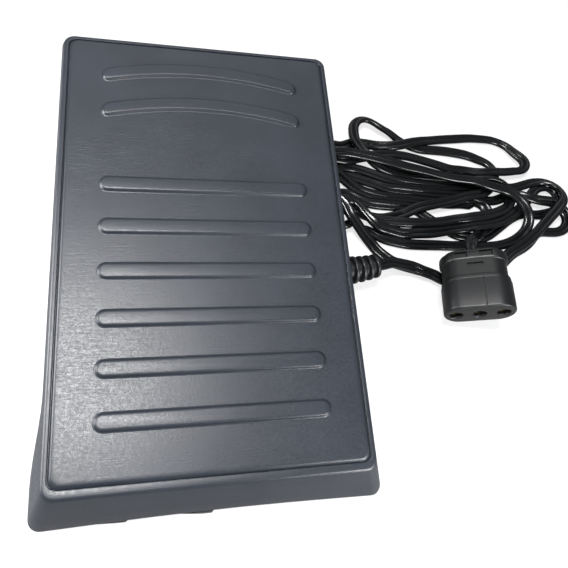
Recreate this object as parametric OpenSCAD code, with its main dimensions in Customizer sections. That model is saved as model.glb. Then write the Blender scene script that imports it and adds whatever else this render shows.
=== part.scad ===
// Foot control for a serger: a ribbed treadle on a sloping base tray, with its
// speed control inside, a ribbed strain relief, a flat twin lead and a
// three-hole machine plug. Millimetres, +Y towards the toe, +Z up, floor at 0.

/* [Deck] */
// Width of the treadle deck at its rim
deck_w = 108; // [96:1:130]
// Length of the deck along its slope
deck_l = 174; // [160:1:200]
// Slope of the deck from heel to toe, in degrees
deck_slope = 8; // [6:0.5:10]
// Height of the deck's heel edge above the floor
heel_h = 17; // [15.5:0.5:22]
// Thickness of the deck plate
deck_t = 2.6; // [2:0.1:3.2]
// Corner radius of the rim
rim_r = 4; // [2:0.5:8]
// Radius of the rim's worn edge
edge_r = 0.8; // [0.4:0.1:1.2]
// Width of the flat rim band along the sides and the toe
rim_w = 1.7; // [1.4:0.1:5]
// Width of the rim band at the heel
heel_rim_w = 2.8; // [1.4:0.1:5]
// Width of the groove between rim and panel
groove_w = 0.6; // [0.4:0.1:1.5]
// Depth of that groove below the rim
groove_d = 0.6; // [0.3:0.1:1]
// Height of the panel above the rim
panel_h = 0.5; // [0.2:0.1:1]
// Least corner radius of the panel
panel_r = 3.2; // [2:0.1:6]

/* [Skirt] */
// Flare of the skirt from the vertical along the sides and the toe, in degrees
flare = 22.4; // [12:0.2:28]
// Flare of the heel skirt from the vertical, in degrees
heel_flare = 25; // [20:0.5:27]
// Thickness of the skirt
skirt_t = 2.2; // [1.6:0.1:3]
// Depth of the lip along the sides and the toe
lip_d = 3.6; // [2.5:0.1:5]
// Depth of the skirt at the heel
heel_d = 12.5; // [11:0.5:13]
// How much lower the heel skirt hangs at its corners than in its middle
heel_drop = 1.6; // [0.6:0.1:1.6]
// Where the deep heel skirt ends, from the heel edge
heel_run = 3; // [0:1:8]
// Where the shallow lip begins, from the heel edge
lip_run = 33; // [28:1:50]

/* [Ribs] */
// Pitch of the tread ribs
rib_pitch = 17.05; // [15:0.05:18]
// Width of a rib
rib_w = 5.6; // [4:0.1:8]
// Length of a rib
rib_l = 78.2; // [60:0.2:90]
// Height of a rib above the panel
rib_h = 1; // [0.5:0.1:1.6]
// Distance of the first rib from the heel edge
rib_start = 21.85; // [16:0.05:24]
// Rise of the two curved ribs at their middle
rib_rise = 4.6; // [2:0.1:6]
// Pitch of those two ribs
curved_pitch = 16.4; // [15:0.1:18]

/* [Base] */
// Gap between the skirt's inside and the base wall
base_gap = 1.3; // [1:0.1:2.5]
// Thickness of the base walls
base_t = 2.2; // [1.8:0.1:3]
// Thickness of the base floor
floor_t = 2.4; // [1.8:0.1:3.5]
// Corner radius of the base
base_r = 6; // [3:0.5:10]
// Height of the rubber feet below the base
foot_h = 1.6; // [1:0.1:3]
// Radius of a rubber foot
foot_r = 7; // [5:0.5:9]
// Depth to which a foot is let into the base
foot_in = 0.8; // [0.4:0.1:1.2]
// How far the heel tabs stand out past the skirt
tab_out = 0.4; // [0.2:0.1:1]
// Height of the heel tabs
tab_h = 1.2; // [0.8:0.1:1.3]

/* [Hinge] */
// Distance of the hinge from the heel edge
hinge_in = 15; // [13:0.5:20]
// Height of the hinge axis above the floor
hinge_z = 9.6; // [9:0.1:11]
// Full travel of the treadle, in degrees
travel = 3.2; // [2:0.1:4]
// Radius of the hinge axle
axle_r = 2; // [1.5:0.1:2.5]
// Radial running clearance on the axle
axle_gap = 0.05; // [0.02:0.01:0.1]
// Radius of the caps on the axle
cap_r = 3.2; // [2.8:0.1:4]
// Thickness of the treadle's hinge ears
ear_t = 2.2; // [1.8:0.1:3]
// Radius of the ears round the axle
ear_r = 4.6; // [4:0.1:5.2]
// Side play between moving and fixed faces
side_play = 0.6; // [0.3:0.1:1]

/* [Springs] */
// Distance of each return spring from the centre line
spring_x = 30; // [20:1:36]
// Distance of the springs from the heel edge
spring_in = 128; // [122:1:135]
// Outer radius of a spring
spring_r = 4.7; // [4:0.1:6]
// Wire diameter
wire_d = 0.9; // [0.6:0.1:1.2]
// Turns of a spring
spring_turns = 7; // [5:1:9]
// Radius of the posts inside the springs
spring_post_r = 2.6; // [2:0.1:3]
// Distance of the stop bumpers from the centre line
stop_x = 16; // [10:1:22]
// Distance of the stop bumpers from the heel edge
stop_in = 146; // [140:1:150]
// Radius of a stop bumper
stop_r = 4; // [3:0.1:5]
// Height of a stop bumper
stop_h = 3; // [2:0.1:4]

/* [Speed control] */
// Length of the circuit board along the pedal
board_l = 54; // [50:1:58]
// Thickness of the board
board_t = 1.6; // [1:0.1:2]
// Height of the standoffs
standoff_h = 5; // [4:0.5:6]
// Distance of the board's heel edge from the pedal's heel edge
board_in = 46; // [42:1:48]
// Distance of the board's left edge from the centre line
board_left = 38; // [36:1:40]
// Length of the wiper lever
lever_l = 16; // [14:0.5:18]
// Radius of the wiper shaft
shaft_r = 2; // [1.5:0.1:2.5]
// Height of the wiper shaft above the board
shaft_up = 5; // [4.5:0.1:6]
// Radius of the lever's tip
tip_r = 1.8; // [1.5:0.1:2.2]

/* [Lead and relief] */
// Width of the flat twin lead
lead_w = 5.4; // [4:0.1:7]
// Thickness of the flat twin lead
lead_t = 2.7; // [2:0.1:3.5]
// Distance of the lead's exit from the heel edge
exit_in = 80.8; // [80:0.2:90]
// Height of the lead's exit above the floor
exit_z = 11; // [10:0.5:13]
// Radius of the relief's neck in the wall
neck_r = 4.5; // [4:0.1:5.5]
// Outer radius of the relief's first rib
ridge_r = 6.4; // [5.5:0.1:7]
// Outer radius of the relief's last rib
ridge_end_r = 5.2; // [4.8:0.1:5.5]
// Number of ribs on the relief
ridges = 6; // [4:1:8]
// Pitch of the relief's ribs
ridge_pitch = 3.4; // [2.8:0.05:3.8]
// Bend of the relief from rib to rib, in degrees
ridge_bend = 2.5; // [0:0.5:4]

/* [Machine plug] */
// Width of the plug
plug_w = 29.2; // [27:0.2:34]
// Height of the plug
plug_h = 14.4; // [13:0.2:17]
// Length of the plug
plug_l = 28.8; // [26:0.2:34]
// Length of the front part
face_l = 12.9; // [10:0.1:16]
// Spacing of the three pin holes
pin_pitch = 9.5; // [8.5:0.1:10]
// Radius of the pin holes
pin_r = 2.6; // [2.2:0.1:2.8]
// Depth of the pin holes
pin_depth = 11; // [8:0.5:12]
// Wall of the brass contact sleeves
sleeve_t = 0.55; // [0.3:0.05:0.7]
// How far the sleeves lie behind the face
sleeve_in = 2; // [1:0.1:3]
// Distance of the plug's face from the relief's tip, across
plug_across = 39.4; // [36:0.2:46]
// Distance of the plug's face from the relief's tip, towards the heel
plug_back = 26.2; // [22:0.2:28]
// Turn of the plug on the floor, in degrees
plug_yaw = -9.5; // [-12:0.5:-6]
// Roll of the plug where it lies on its own lead, in degrees
plug_roll = -28; // [-32:0.5:-20]

/* [Hidden] */
$fn = 48;
tiny = 0.01;
far = 400;

// The flares are counted from the vertical, so the skirt's slope from the
// deck's own normal differs at the heel and at the toe
side_slope = tan(flare);
heel_slope = tan(heel_flare + deck_slope);
toe_slope = tan(flare - deck_slope);

// Extent of the pedal from the heel edge, and the heel edge's place when the
// pedal is centred on the origin
foot_slope = sin(deck_slope) - heel_slope * cos(deck_slope);
skirt_foot_y = foot_slope * heel_d;
heel_reach = min(skirt_foot_y - tab_out, foot_slope * (heel_d + heel_drop));
heel_inner_y = (skirt_t - heel_slope * (deck_t + 0.8)) * cos(deck_slope)
    + (deck_t + 0.8) * sin(deck_slope);
toe_reach = (deck_l + toe_slope * lip_d) * cos(deck_slope) + lip_d * sin(deck_slope);
deck_y0 = -(heel_reach + toe_reach) / 2;

// Hinge axis
hinge_y = deck_y0 + hinge_in;
hinge_dy = hinge_in * cos(deck_slope) + (hinge_z - heel_h) * sin(deck_slope);
hinge_dz = -hinge_in * sin(deck_slope) + (hinge_z - heel_h) * cos(deck_slope);

// Base outline
base_x = deck_w / 2 - skirt_t - base_gap;
base_heel_y = deck_y0 + heel_inner_y + base_gap;
base_toe_y = deck_y0 + (deck_l - skirt_t) * cos(deck_slope) - base_gap;
floor_z = foot_h + floor_t;
wall_in_x = base_x - base_t;
wall_in_toe = base_toe_y - base_t;

// Inner skirt of the treadle
inner_t = 1.8;
inner_x = wall_in_x - 1;
inner_start = hinge_dy + 19;
stiffener = 3;
inner_toe = (wall_in_toe - 2.4 - deck_y0 - 2) / cos(deck_slope);
wall_clear = 0.8;
overlap_d = 3.6;

// Circuit board
board_z = floor_z + standoff_h;
board_top = board_z + board_t;
board_x0 = -board_left;
board_y0 = deck_y0 + board_in;
clamp_x = inner_x - inner_t - 6;
clamp_l = 7;
clamp_w = 18;
lead_room = 7;
board_x1 = clamp_x - clamp_l / 2 - 1 - lead_room;
board_w = board_x1 - board_x0;
screw_in = 3.5;
standoff_r = 3;
thread_r = 1.25;

// Wiper lever, which the treadle's finger presses down
shaft_y = board_y0 + board_l - 8;
shaft_z = board_top + shaft_up;
finger_y = shaft_y + lever_l;
finger_drop = (finger_y - hinge_y) * sin(travel);
lever_half = asin(finger_drop / 2 / lever_l);
lever_x = board_x0 + 21;
lever_t = 4;
touch_gap = 0.5;
hub_r = shaft_r + 1.6;
pot_w = 12;
pot_l = 11;
pot_h = 9;
sink_x = board_x0 + 30;
sink_y = board_y0 + board_l - 8;
sink_w = 22;
sink_t = 1.6;
fin_t = 1.4;
fin_l = 5;
hole_up = 8.4;
head_r = 2.3;
sink_h = hole_up + head_r + 0.3;
triac_w = 10;
triac_x = sink_x + sink_w / 2;

// Springs and stops
spring_y = deck_y0 + spring_in;
spring_seat = floor_z + 1;
spring_top = heel_h + spring_in * tan(deck_slope) - deck_t / cos(deck_slope) - 4;
stop_y = deck_y0 + stop_in;
stop_top = floor_z + stop_h;
stop_drop = (stop_in - hinge_in) * sin(travel);

// Lead exit and relief, whose ribs follow a slight bend
exit_y = deck_y0 + exit_in;
relief_flange = 2;
ridge_x0 = base_x + relief_flange;
function bend_x(k) = k <= 0 ? 0 : bend_x(k - 1) + ridge_pitch * cos((k - 0.5) * ridge_bend);
function bend_y(k) = k <= 0 ? 0 : bend_y(k - 1) + ridge_pitch * sin((k - 0.5) * ridge_bend);
tip_x = ridge_x0 + bend_x(ridges);
tip_y = exit_y + bend_y(ridges);
tip_turn = ridges * ridge_bend;
block_x = board_x1 - 10;
block_z = board_top + 2;
core_d = 1.5;
block_bore_y = 3;

// Machine plug, which lies on two runs of its own lead
plug_x = tip_x + plug_across;
plug_y = tip_y - plug_back;
plug_z = 2 * lead_t + 0.4 + plug_h / 2 + (plug_w - plug_h) / 2 * sin(-plug_roll);

// Heights of a run on the floor and of a run on top of it
run_1 = lead_t / 2 + 0.1;
run_2 = 3 * lead_t / 2 + 0.2;

// Routes of the lead, counted from the relief's tip and from the floor. First
// from the relief, over the next run, under the plug and on to the bundle
outgoing_route = [[4, 1.2, 10.6], [8, 2.3, 9.4], [12.5, 3, 8], [17, 3.1, 6.6], [22, 2.6, 5.2],
    [26, 1.2, 4.6], [30, -0.5, run_2], [34, -2.8, run_2], [40, -5.5, run_2], [48, -6.5, run_2],
    [56, -3.5, run_2], [65, 3, run_2], [74.5, 10.5, run_2], [80, 13.3, run_2], [87.5, 18, run_2],
    [94.5, 23, run_2], [104, 31, 4.6]];
// From the bundle's left end, under the first run and under the plug
crossing_route = [[-2, 30, 3], [0, 24, 1.8], [3, 18.7, run_1], [6.5, 14, run_1], [10, 10, run_1],
    [13.6, 6.6, run_1], [17.5, 4.3, run_1], [22, 2.4, run_1], [26.5, 0.2, run_1],
    [31, -1.8, run_1], [35.5, -4, run_1], [40, -6, run_1], [48, -7, run_1], [56, -4.3, run_1],
    [65, 2.2, run_1], [74.5, 9.8, run_1], [80, 12.6, run_1], [87.5, 17.4, run_1],
    [94.5, 22.4, run_1], [104, 30.4, run_1]];
// From the bundle into the back of the plug
plug_end_route = [[50, 30, 5], [55, 28.5, 6], [59, 25.2, 7], [60.3, 20.6, 8.6],
    [58.4, 16, 10.6], [54.4, 12.8, 12.6], [49.6, 10.2, 14.6]];

// Bundle of folded lead, counted from the relief's tip
bundle_across = 50.4;
bundle_up = 52;
bundle_l = 138;
bundle_w = 61;
bundle_r = 28;
bundle_turn = 5;
bundle_h = 10;

// ---------------------------------------------------------------- helpers

// Puts children in the deck's frame: origin at the middle of the heel edge,
// +Y along the slope and +Z out of the deck
module on_deck() {
    translate([0, deck_y0, heel_h]) rotate([deck_slope, 0, 0]) children();
}

// Puts children in the plug's frame: origin in the middle of the face, +Y back
module on_plug() {
    translate([plug_x, plug_y, plug_z]) rotate([0, 0, plug_yaw]) rotate([0, plug_roll, 0])
        children();
}

// Rounded rectangle from corner to corner
module round_rect(x0, y0, x1, y1, r) {
    translate([x0 + r, y0]) square([x1 - x0 - 2 * r, y1 - y0]);
    translate([x0, y0 + r]) square([x1 - x0, y1 - y0 - 2 * r]);
    for (x = [x0 + r, x1 - r], y = [y0 + r, y1 - r]) translate([x, y]) circle(r);
}

// Outline of the deck, grown by the flare at a depth d and inset all round,
// with an inset of its own at the heel
module deck_outline(d, inset, heel_inset) {
    grow = side_slope * d - inset;
    round_rect(-deck_w / 2 - grow, heel_inset - heel_slope * d, deck_w / 2 + grow,
        deck_l - inset + toe_slope * d, max(rim_r - inset, min(panel_r, rim_r)), $fn = 32);
}

// A slice of that outline, for hulls
module deck_slice(d, inset) {
    translate([0, 0, -d]) linear_extrude(tiny) deck_outline(d, inset, inset);
}

// Depth of the skirt's lower edge at a distance y from the heel edge
function skirt_depth(y) = y <= heel_run ? heel_d + heel_drop : y >= lip_run ? lip_d :
    lip_d + (heel_d + heel_drop - lip_d)
    * (1 + cos(180 * (y - heel_run) / (lip_run - heel_run))) / 2;

// Cylinder along X from x0 to x1
module rod_x(x0, x1, y, z, r) {
    translate([x0, y, z]) rotate([0, 90, 0]) cylinder(h = x1 - x0, r = r);
}

// Flat oval section of the lead, as eight points across and up
function lead_section(w, t) = [for (a = [22.5:45:360])
    [(w - t) / 2 * sign(cos(a)) + t / 2 * cos(a) / cos(22.5), t / 2 * sin(a) / cos(22.5)]];

// A route counted from the relief's tip, as points in the part's frame
function from_tip(route) = [for (p = route) [tip_x + p[0], tip_y + p[1], p[2]]];

// Sweeps a section along a route, its wide side level
module sweep_flat(route, section) {
    n = len(route);
    m = len(section);
    rings = [for (i = [0:n - 1]) let (
        t = route[min(i + 1, n - 1)] - route[max(i - 1, 0)],
        dir = t / norm(t),
        side = [-dir[1], dir[0], 0] / norm([dir[0], dir[1]]),
        up = cross(side, dir))
        for (s = section) route[i] + side * s[0] - up * s[1]];
    sides = [for (i = [0:n - 2], k = [0:m - 1]) let (a = i * m + k, b = i * m + (k + 1) % m)
        [a, a + m, b + m, b]];
    polyhedron(rings, concat([[for (k = [0:m - 1]) k]],
        sides, [[for (k = [m - 1:-1:0]) (n - 1) * m + k]]), convexity = 6);
}

// ---------------------------------------------------------------- treadle

// One straight tread rib
module tread_rib() {
    straight = rib_l / 2 - rib_w / 2;
    linear_extrude(panel_h + rib_h + 0.5) {
        translate([-straight, -rib_w / 2]) square([2 * straight, rib_w]);
        for (x = [-straight, straight]) translate([x, 0]) circle(rib_w / 2);
    }
}

// One tread rib that arches towards the toe
module curved_rib() {
    half = rib_l / 2 - rib_w / 2;
    arc_r = (half * half + rib_rise * rib_rise) / (2 * rib_rise);
    linear_extrude(panel_h + rib_h + 0.5) translate([0, rib_rise - arc_r]) {
        intersection() {
            difference() {
                circle(arc_r + rib_w / 2, $fn = 96);
                circle(arc_r - rib_w / 2, $fn = 96);
            }
            polygon([[0, 0], [2 * half, 2 * (arc_r - rib_rise)], [-2 * half, 2 * (arc_r - rib_rise)]]);
        }
        for (s = [-1, 1]) translate([s * half, arc_r - rib_rise]) circle(rib_w / 2 + 0.05);
    }
}

// All ribs: six straight, a bare place, then two curved
module tread_ribs() {
    for (k = [0:5]) translate([0, rib_start + k * rib_pitch, -0.5]) tread_rib();
    for (k = [0, 1])
        translate([0, rib_start + 7 * rib_pitch + k * curved_pitch - rib_rise / 3, -0.5])
            curved_rib();
}

// Solid to which the skirt's lower edge is cut
module skirt_profile() {
    steps = 12;
    edge = [for (k = [0:steps]) let (y = heel_run + (lip_run - heel_run) * k / steps)
        [y, -skirt_depth(y)]];
    corner_x = deck_w / 2 - 2;
    arch_r = (corner_x * corner_x + heel_drop * heel_drop) / (2 * heel_drop);
    difference() {
        rotate([90, 0, 90]) translate([0, 0, -far / 2]) linear_extrude(far)
            polygon(concat([[-far / 2, 5], [-far / 2, -heel_d - heel_drop]], edge,
                [[far, -lip_d], [far, 5]]));
        translate([0, heel_run - 1, -heel_d - arch_r]) rotate([90, 0, 0])
            cylinder(h = far, r = arch_r);
    }
}

// Deck plate with its flared skirt
module deck_shell() {
    inset = edge_r * 0.3;
    intersection() {
        difference() {
            hull() {
                deck_slice(tiny, edge_r);
                deck_slice(inset, inset);
                deck_slice(edge_r, 0);
                deck_slice(heel_d + 1, 0);
            }
            hull() {
                deck_slice(deck_t, skirt_t);
                deck_slice(heel_d + 3, skirt_t);
            }
        }
        skirt_profile();
    }
}

// Raised middle panel, whose edge the groove cuts
module deck_panel() {
    translate([0, 0, -1]) linear_extrude(1 + panel_h)
        deck_outline(0, rim_w + groove_w / 2, heel_rim_w + groove_w / 2);
}

// Groove between the rim and the panel
module rim_groove() {
    translate([0, 0, -groove_d]) linear_extrude(5) difference() {
        deck_outline(0, rim_w, heel_rim_w);
        deck_outline(0, rim_w + groove_w, heel_rim_w + groove_w);
    }
}

// Ear round the hinge axle, on the side s
module hinge_ear(s) {
    x0 = base_x + side_play;
    mirror([s < 0 ? 1 : 0, 0, 0]) {
        rod_x(x0, x0 + ear_t, hinge_dy, hinge_dz, ear_r);
        translate([x0, hinge_dy - ear_r, hinge_dz]) cube([ear_t, 2 * ear_r, -hinge_dz - 1]);
    }
}

// Wall inside the base, which closes the gap under the lip, with a low cross
// rib at its heel end and a gap for the relief
module inner_skirt() {
    drop = overlap_d + wall_clear + deck_t;
    union() {
        difference() {
            translate([0, 0, -far / 4]) linear_extrude(far / 4 - 1) difference() {
                round_rect(-inner_x, inner_start - 5, inner_x, inner_toe, 4);
                translate([-inner_x + inner_t, inner_start - 10])
                    square([2 * (inner_x - inner_t), inner_toe - inner_start + 10 - inner_t]);
                translate([-far / 2, -far]) square([far, far + inner_start]);
            }
            translate([0, hinge_dy, 0]) rotate([-travel, 0, 0])
                translate([-far / 2, -far / 2, -drop - far]) cube([far, far, far]);
            translate([inner_x - inner_t - 1, exit_in / cos(deck_slope) - 9, -far / 4])
                cube([inner_t + 2, 18, far / 4 - deck_t - stiffener]);
        }
        translate([-inner_x, inner_start, -deck_t - stiffener])
            cube([2 * inner_x, inner_t, stiffener + 1]);
    }
}

// Hooks at the toe that catch under the base's keepers
module toe_hooks() {
    depth = overlap_d + wall_clear + deck_t + (inner_toe - hinge_dy) * tan(travel);
    for (x = [-20, 20]) translate([x - 4, inner_toe - 0.5, -depth])
        cube([8, 1.7, 1.2]);
}

// Posts under the deck: spring seats, stops and the finger for the lever
module treadle_posts() {
    intersection() {
        union() {
            for (s = [-1, 1]) {
                translate([s * spring_x, spring_y, spring_top]) cylinder(h = 20, r = spring_r + 0.8);
                translate([s * spring_x, spring_y, spring_top - 4])
                    cylinder(h = 5, r = spring_post_r);
                translate([s * stop_x, stop_y, stop_top + stop_drop + touch_gap])
                    cylinder(h = 40, r = stop_r - 0.6);
            }
            translate([lever_x - 1, finger_y - 4, shaft_z + finger_drop / 2 + tip_r + touch_gap])
                cube([lever_t + 2, 8, 30]);
        }
        on_deck() translate([-far / 2, -far / 2, -far - 1]) cube([far, far, far]);
    }
}

module treadle() {
    color("#4a4d55") difference() {
        union() {
            on_deck() {
                deck_shell();
                deck_panel();
                tread_ribs();
                inner_skirt();
                toe_hooks();
                for (s = [-1, 1]) hinge_ear(s);
            }
            treadle_posts();
        }
        on_deck() rim_groove();
        rod_x(-far / 2, far / 2, hinge_y, hinge_z, axle_r + axle_gap);
        for (s = [-1, 1]) mirror([s < 0 ? 1 : 0, 0, 0]) {
            rod_x(base_x + side_play + ear_t, far / 2, hinge_y, hinge_z, cap_r + 0.5);
            translate([base_x + side_play + ear_t, hinge_y - cap_r - 0.5, -far])
                cube([far / 2, 2 * cap_r + 1, far + hinge_z]);
        }
    }
}

// ---------------------------------------------------------------- base

module base_outline(inset) {
    round_rect(-base_x + inset, base_heel_y + inset, base_x - inset, base_toe_y - inset,
        base_r - inset);
}

// Everything above the treadle's underside, at rest or fully pressed
module under_treadle(angle) {
    translate([0, hinge_y, hinge_z]) rotate([deck_slope - angle, 0, 0])
        translate([-far / 2, -far / 2, -hinge_dz - deck_t - wall_clear]) cube([far, far, far]);
}

module standoff_places() {
    for (x = [board_x0 + screw_in, board_x0 + board_w - screw_in],
        y = [board_y0 + screw_in, board_y0 + board_l - screw_in]) translate([x, y, 0]) children();
}

module clamp_screw_places() {
    for (s = [-1, 1]) translate([clamp_x, exit_y + s * (clamp_w / 2 - 3), 0]) children();
}

module foot_places() {
    for (x = [-1, 1], y = [base_heel_y + 16, base_toe_y - 16])
        translate([x * (base_x - 12), y, 0]) children();
}

// Tabs of the base that show under the heel skirt, wider towards their right
// ends; their tops stay under the skirt's lowest corner
module heel_tabs() {
    tab_y = deck_y0 + skirt_foot_y - tab_out;
    corner_z = heel_h - (cos(deck_slope) + heel_slope * sin(deck_slope)) * (heel_d + heel_drop);
    for (tab = [[-49, -29], [-16, -1]])
        translate([0, 0, corner_z - 0.15 - tab_h]) linear_extrude(tab_h) polygon([
            [tab[0], base_heel_y + 6], [tab[0], tab_y + 1.1], [(tab[0] + tab[1]) / 2, tab_y + 0.3],
            [tab[1] - 4, tab_y], [tab[1] - 1, tab_y], [tab[1], tab_y + 1],
            [tab[1], base_heel_y + 6]]);
}

module base_tray() {
    keeper_z = heel_h + (inner_toe + 1) * sin(deck_slope)
        - (overlap_d + wall_clear + deck_t + (inner_toe - hinge_dy) * tan(travel) - 1.2)
        * cos(deck_slope) + 0.35;
    color("#2b2d31") difference() {
        union() {
            difference() {
                translate([0, 0, foot_h]) linear_extrude(60) base_outline(0);
                translate([0, 0, floor_z]) linear_extrude(60) base_outline(base_t);
                under_treadle(0);
                under_treadle(travel);
            }
            heel_tabs();
            // bosses that hold the axle
            for (s = [-1, 1]) mirror([s < 0 ? 1 : 0, 0, 0])
                translate([wall_in_x - 4, hinge_y - 4, floor_z - 0.5])
                    cube([4.5, 8, hinge_z - floor_z + 0.5 + axle_r + 1.2]);
            standoff_places() translate([0, 0, floor_z - 0.5])
                cylinder(h = standoff_h + 0.5, r = standoff_r);
            for (s = [-1, 1]) translate([s * spring_x, spring_y, floor_z - 0.5]) {
                cylinder(h = spring_seat - floor_z + 0.5, r = spring_r + 1);
                cylinder(h = 8, r = spring_post_r);
            }
            // saddle under the lead
            translate([clamp_x - clamp_l / 2, exit_y - clamp_w / 2, floor_z - 0.5])
                cube([clamp_l, clamp_w, exit_z - lead_t / 2 - floor_z + 0.5]);
            // keepers for the treadle's hooks
            for (x = [-20, 20]) translate([x - 5, wall_in_toe - 1.9, keeper_z])
                cube([10, 2.4, 1.6]);
        }
        rod_x(-far / 2, far / 2, hinge_y, hinge_z, axle_r);
        rod_x(wall_in_x - 1, base_x + 1, exit_y, exit_z, neck_r);
        standoff_places() translate([0, 0, floor_z]) cylinder(h = far, r = thread_r);
        clamp_screw_places() translate([0, 0, floor_z]) cylinder(h = far, r = thread_r);
        foot_places() translate([0, 0, -1]) cylinder(h = foot_h + foot_in + 1, r = foot_r);
    }
}

module rubber_feet() {
    color("#151617") foot_places() cylinder(h = foot_h + foot_in, r = foot_r);
}

module stop_bumpers() {
    color("#1d1e20") for (s = [-1, 1]) translate([s * stop_x, stop_y, floor_z])
        cylinder(h = stop_h, r = stop_r);
}

// ---------------------------------------------------------------- hinge and springs

axle_end = base_x + side_play + ear_t + 2.2;

module hinge_axle() {
    color("#7c7f84") rod_x(-axle_end, axle_end, hinge_y, hinge_z, axle_r);
}

module hinge_caps() {
    color("#151617") for (s = [-1, 1]) mirror([s < 0 ? 1 : 0, 0, 0]) difference() {
        rod_x(base_x + side_play + ear_t + 0.3, deck_w / 2 + side_slope * -hinge_dz - 1.5,
            hinge_y, hinge_z, cap_r);
        rod_x(0, axle_end, hinge_y, hinge_z, axle_r);
    }
}

// Compression spring, a helix of round wire whose end turns lie flat
module return_spring(x) {
    steps = 14;
    n = spring_turns * steps;
    m = 6;
    mean_r = spring_r - wire_d / 2;
    height = spring_top - spring_seat - wire_d;
    function rise(i) = let (t = i / steps, u = (t - 1) / (spring_turns - 2))
        t < 1 ? t * wire_d * 1.05 : t > spring_turns - 1 ?
        height - (spring_turns - t) * wire_d * 1.05 :
        wire_d * 1.05 + u * (height - 2.1 * wire_d);
    points = [for (i = [0:n], k = [0:m - 1]) let (a = 360 * i / steps, b = 360 * k / m,
        r = mean_r + wire_d / 2 * cos(b))
        [r * cos(a), r * sin(a), rise(i) + wire_d / 2 * sin(b)]];
    faces = [for (i = [0:n - 1], k = [0:m - 1]) let (p = i * m + k, q = i * m + (k + 1) % m)
        [p, p + m, q + m, q]];
    color("#a9adb3") translate([x, spring_y, spring_seat + wire_d / 2]) polyhedron(points,
        concat([[for (k = [0:m - 1]) k]], faces, [[for (k = [m - 1:-1:0]) n * m + k]]),
        convexity = 10);
}

// ---------------------------------------------------------------- speed control

module circuit_board() {
    color("#2f6b45") difference() {
        translate([board_x0, board_y0, board_z]) cube([board_w, board_l, board_t]);
        standoff_places() translate([0, 0, board_z - 1]) cylinder(h = board_t + 2, r = 1.6);
    }
}

// Pan-head screw that stands on a face at z
module pan_screw(z, shank) {
    translate([0, 0, z]) difference() {
        union() {
            cylinder(h = 1.2, r = 2.6);
            translate([0, 0, 1.2]) cylinder(h = 0.6, r1 = 2.6, r2 = 1.6);
            translate([0, 0, -shank]) cylinder(h = shank + 0.1, r = thread_r);
        }
        for (a = [0, 90]) rotate(a) translate([-1.3, -0.3, 1]) cube([2.6, 0.6, 2]);
    }
}

module board_screws() {
    color("#b9bcc0") standoff_places() pan_screw(board_top, board_t + standoff_h - 0.5);
}

// Housing with a bore for the wiper's shaft, at its left end
module potentiometer() {
    x1 = lever_x - 0.5;
    color("#2a2c30") difference() {
        union() {
            translate([x1 - pot_w, shaft_y - pot_l / 2, board_top]) cube([pot_w, pot_l, pot_h]);
            rod_x(x1 - pot_w - 1.2, x1 - pot_w + 1, shaft_y, shaft_z, hub_r);
        }
        rod_x(x1 - pot_w + 2, x1 + 1, shaft_y, shaft_z, shaft_r + axle_gap);
    }
}

// Lever with its shaft, hub, arm and round tip, held up at half its swing
module wiper_lever() {
    color("#c9c6bb") translate([0, shaft_y, shaft_z]) rotate([lever_half, 0, 0]) {
        rod_x(lever_x - 0.5 - pot_w + 2.5, lever_x + 0.5, 0, 0, shaft_r);
        rod_x(lever_x, lever_x + lever_t, 0, 0, hub_r);
        translate([lever_x, 0, -tip_r]) cube([lever_t, lever_l, 2 * tip_r]);
        rod_x(lever_x, lever_x + lever_t, lever_l, 0, tip_r);
    }
}

// Folded aluminium heat sink with four fins
module heat_sink() {
    color("#c4c7ca") difference() {
        union() {
            translate([sink_x, sink_y, board_top]) cube([sink_w, sink_t, sink_h]);
            for (k = [0:3])
                translate([sink_x + 0.5 + k * (sink_w - 1 - fin_t) / 3, sink_y + sink_t - 0.1, board_top])
                    cube([fin_t, fin_l, sink_h]);
        }
        translate([triac_x, sink_y - 1, board_top + hole_up]) rotate([-90, 0, 0])
            cylinder(h = sink_t + 2, r = thread_r);
    }
}

module triac() {
    color("#1b1c1e") difference() {
        union() {
            translate([triac_x - triac_w / 2, sink_y - 3, board_top + 2])
                cube([triac_w, 3, hole_up - head_r - 2.3]);
            translate([triac_x - triac_w / 2, sink_y - 1, board_top + 2])
                cube([triac_w, 1, hole_up + head_r - 1.9]);
            for (k = [-1, 0, 1]) translate([triac_x - 0.4 + k * 2.5, sink_y - 2, board_top])
                cube([0.8, 0.6, 2.5]);
        }
        translate([triac_x, sink_y - 4, board_top + hole_up]) rotate([-90, 0, 0])
            cylinder(h = 6, r = thread_r);
    }
}

module triac_screw() {
    color("#b9bcc0") translate([triac_x, sink_y - 1, board_top + hole_up]) rotate([90, 0, 0]) {
        cylinder(h = 1.4, r = head_r);
        translate([0, 0, -sink_t - 0.8]) cylinder(h = sink_t + 0.9, r = thread_r);
    }
}

// Toroid with its winding as a ring of turns
module choke_coil() {
    cx = board_x0 + 12;
    cy = board_y0 + 16;
    turns = 18;
    translate([cx, cy, board_top]) {
        color("#3b3f3a") translate([0, 0, 0.8]) rotate_extrude() translate([4, 0]) square([4, 5]);
        color("#a8642e") for (k = [0:turns - 1]) rotate(k * 360 / turns)
            translate([3.5, -0.4, 0]) difference() {
                cube([5, 0.8, 6.6]);
                translate([0.7, -1, 1]) cube([3.6, 3, 4.6]);
            }
    }
}

module capacitor() {
    color("#c9a227") translate([board_x0 + 26, board_y0 + 8, board_top]) {
        linear_extrude(7.2) round_rect(0, 0, 15, 6, 0.8);
    }
}

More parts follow.
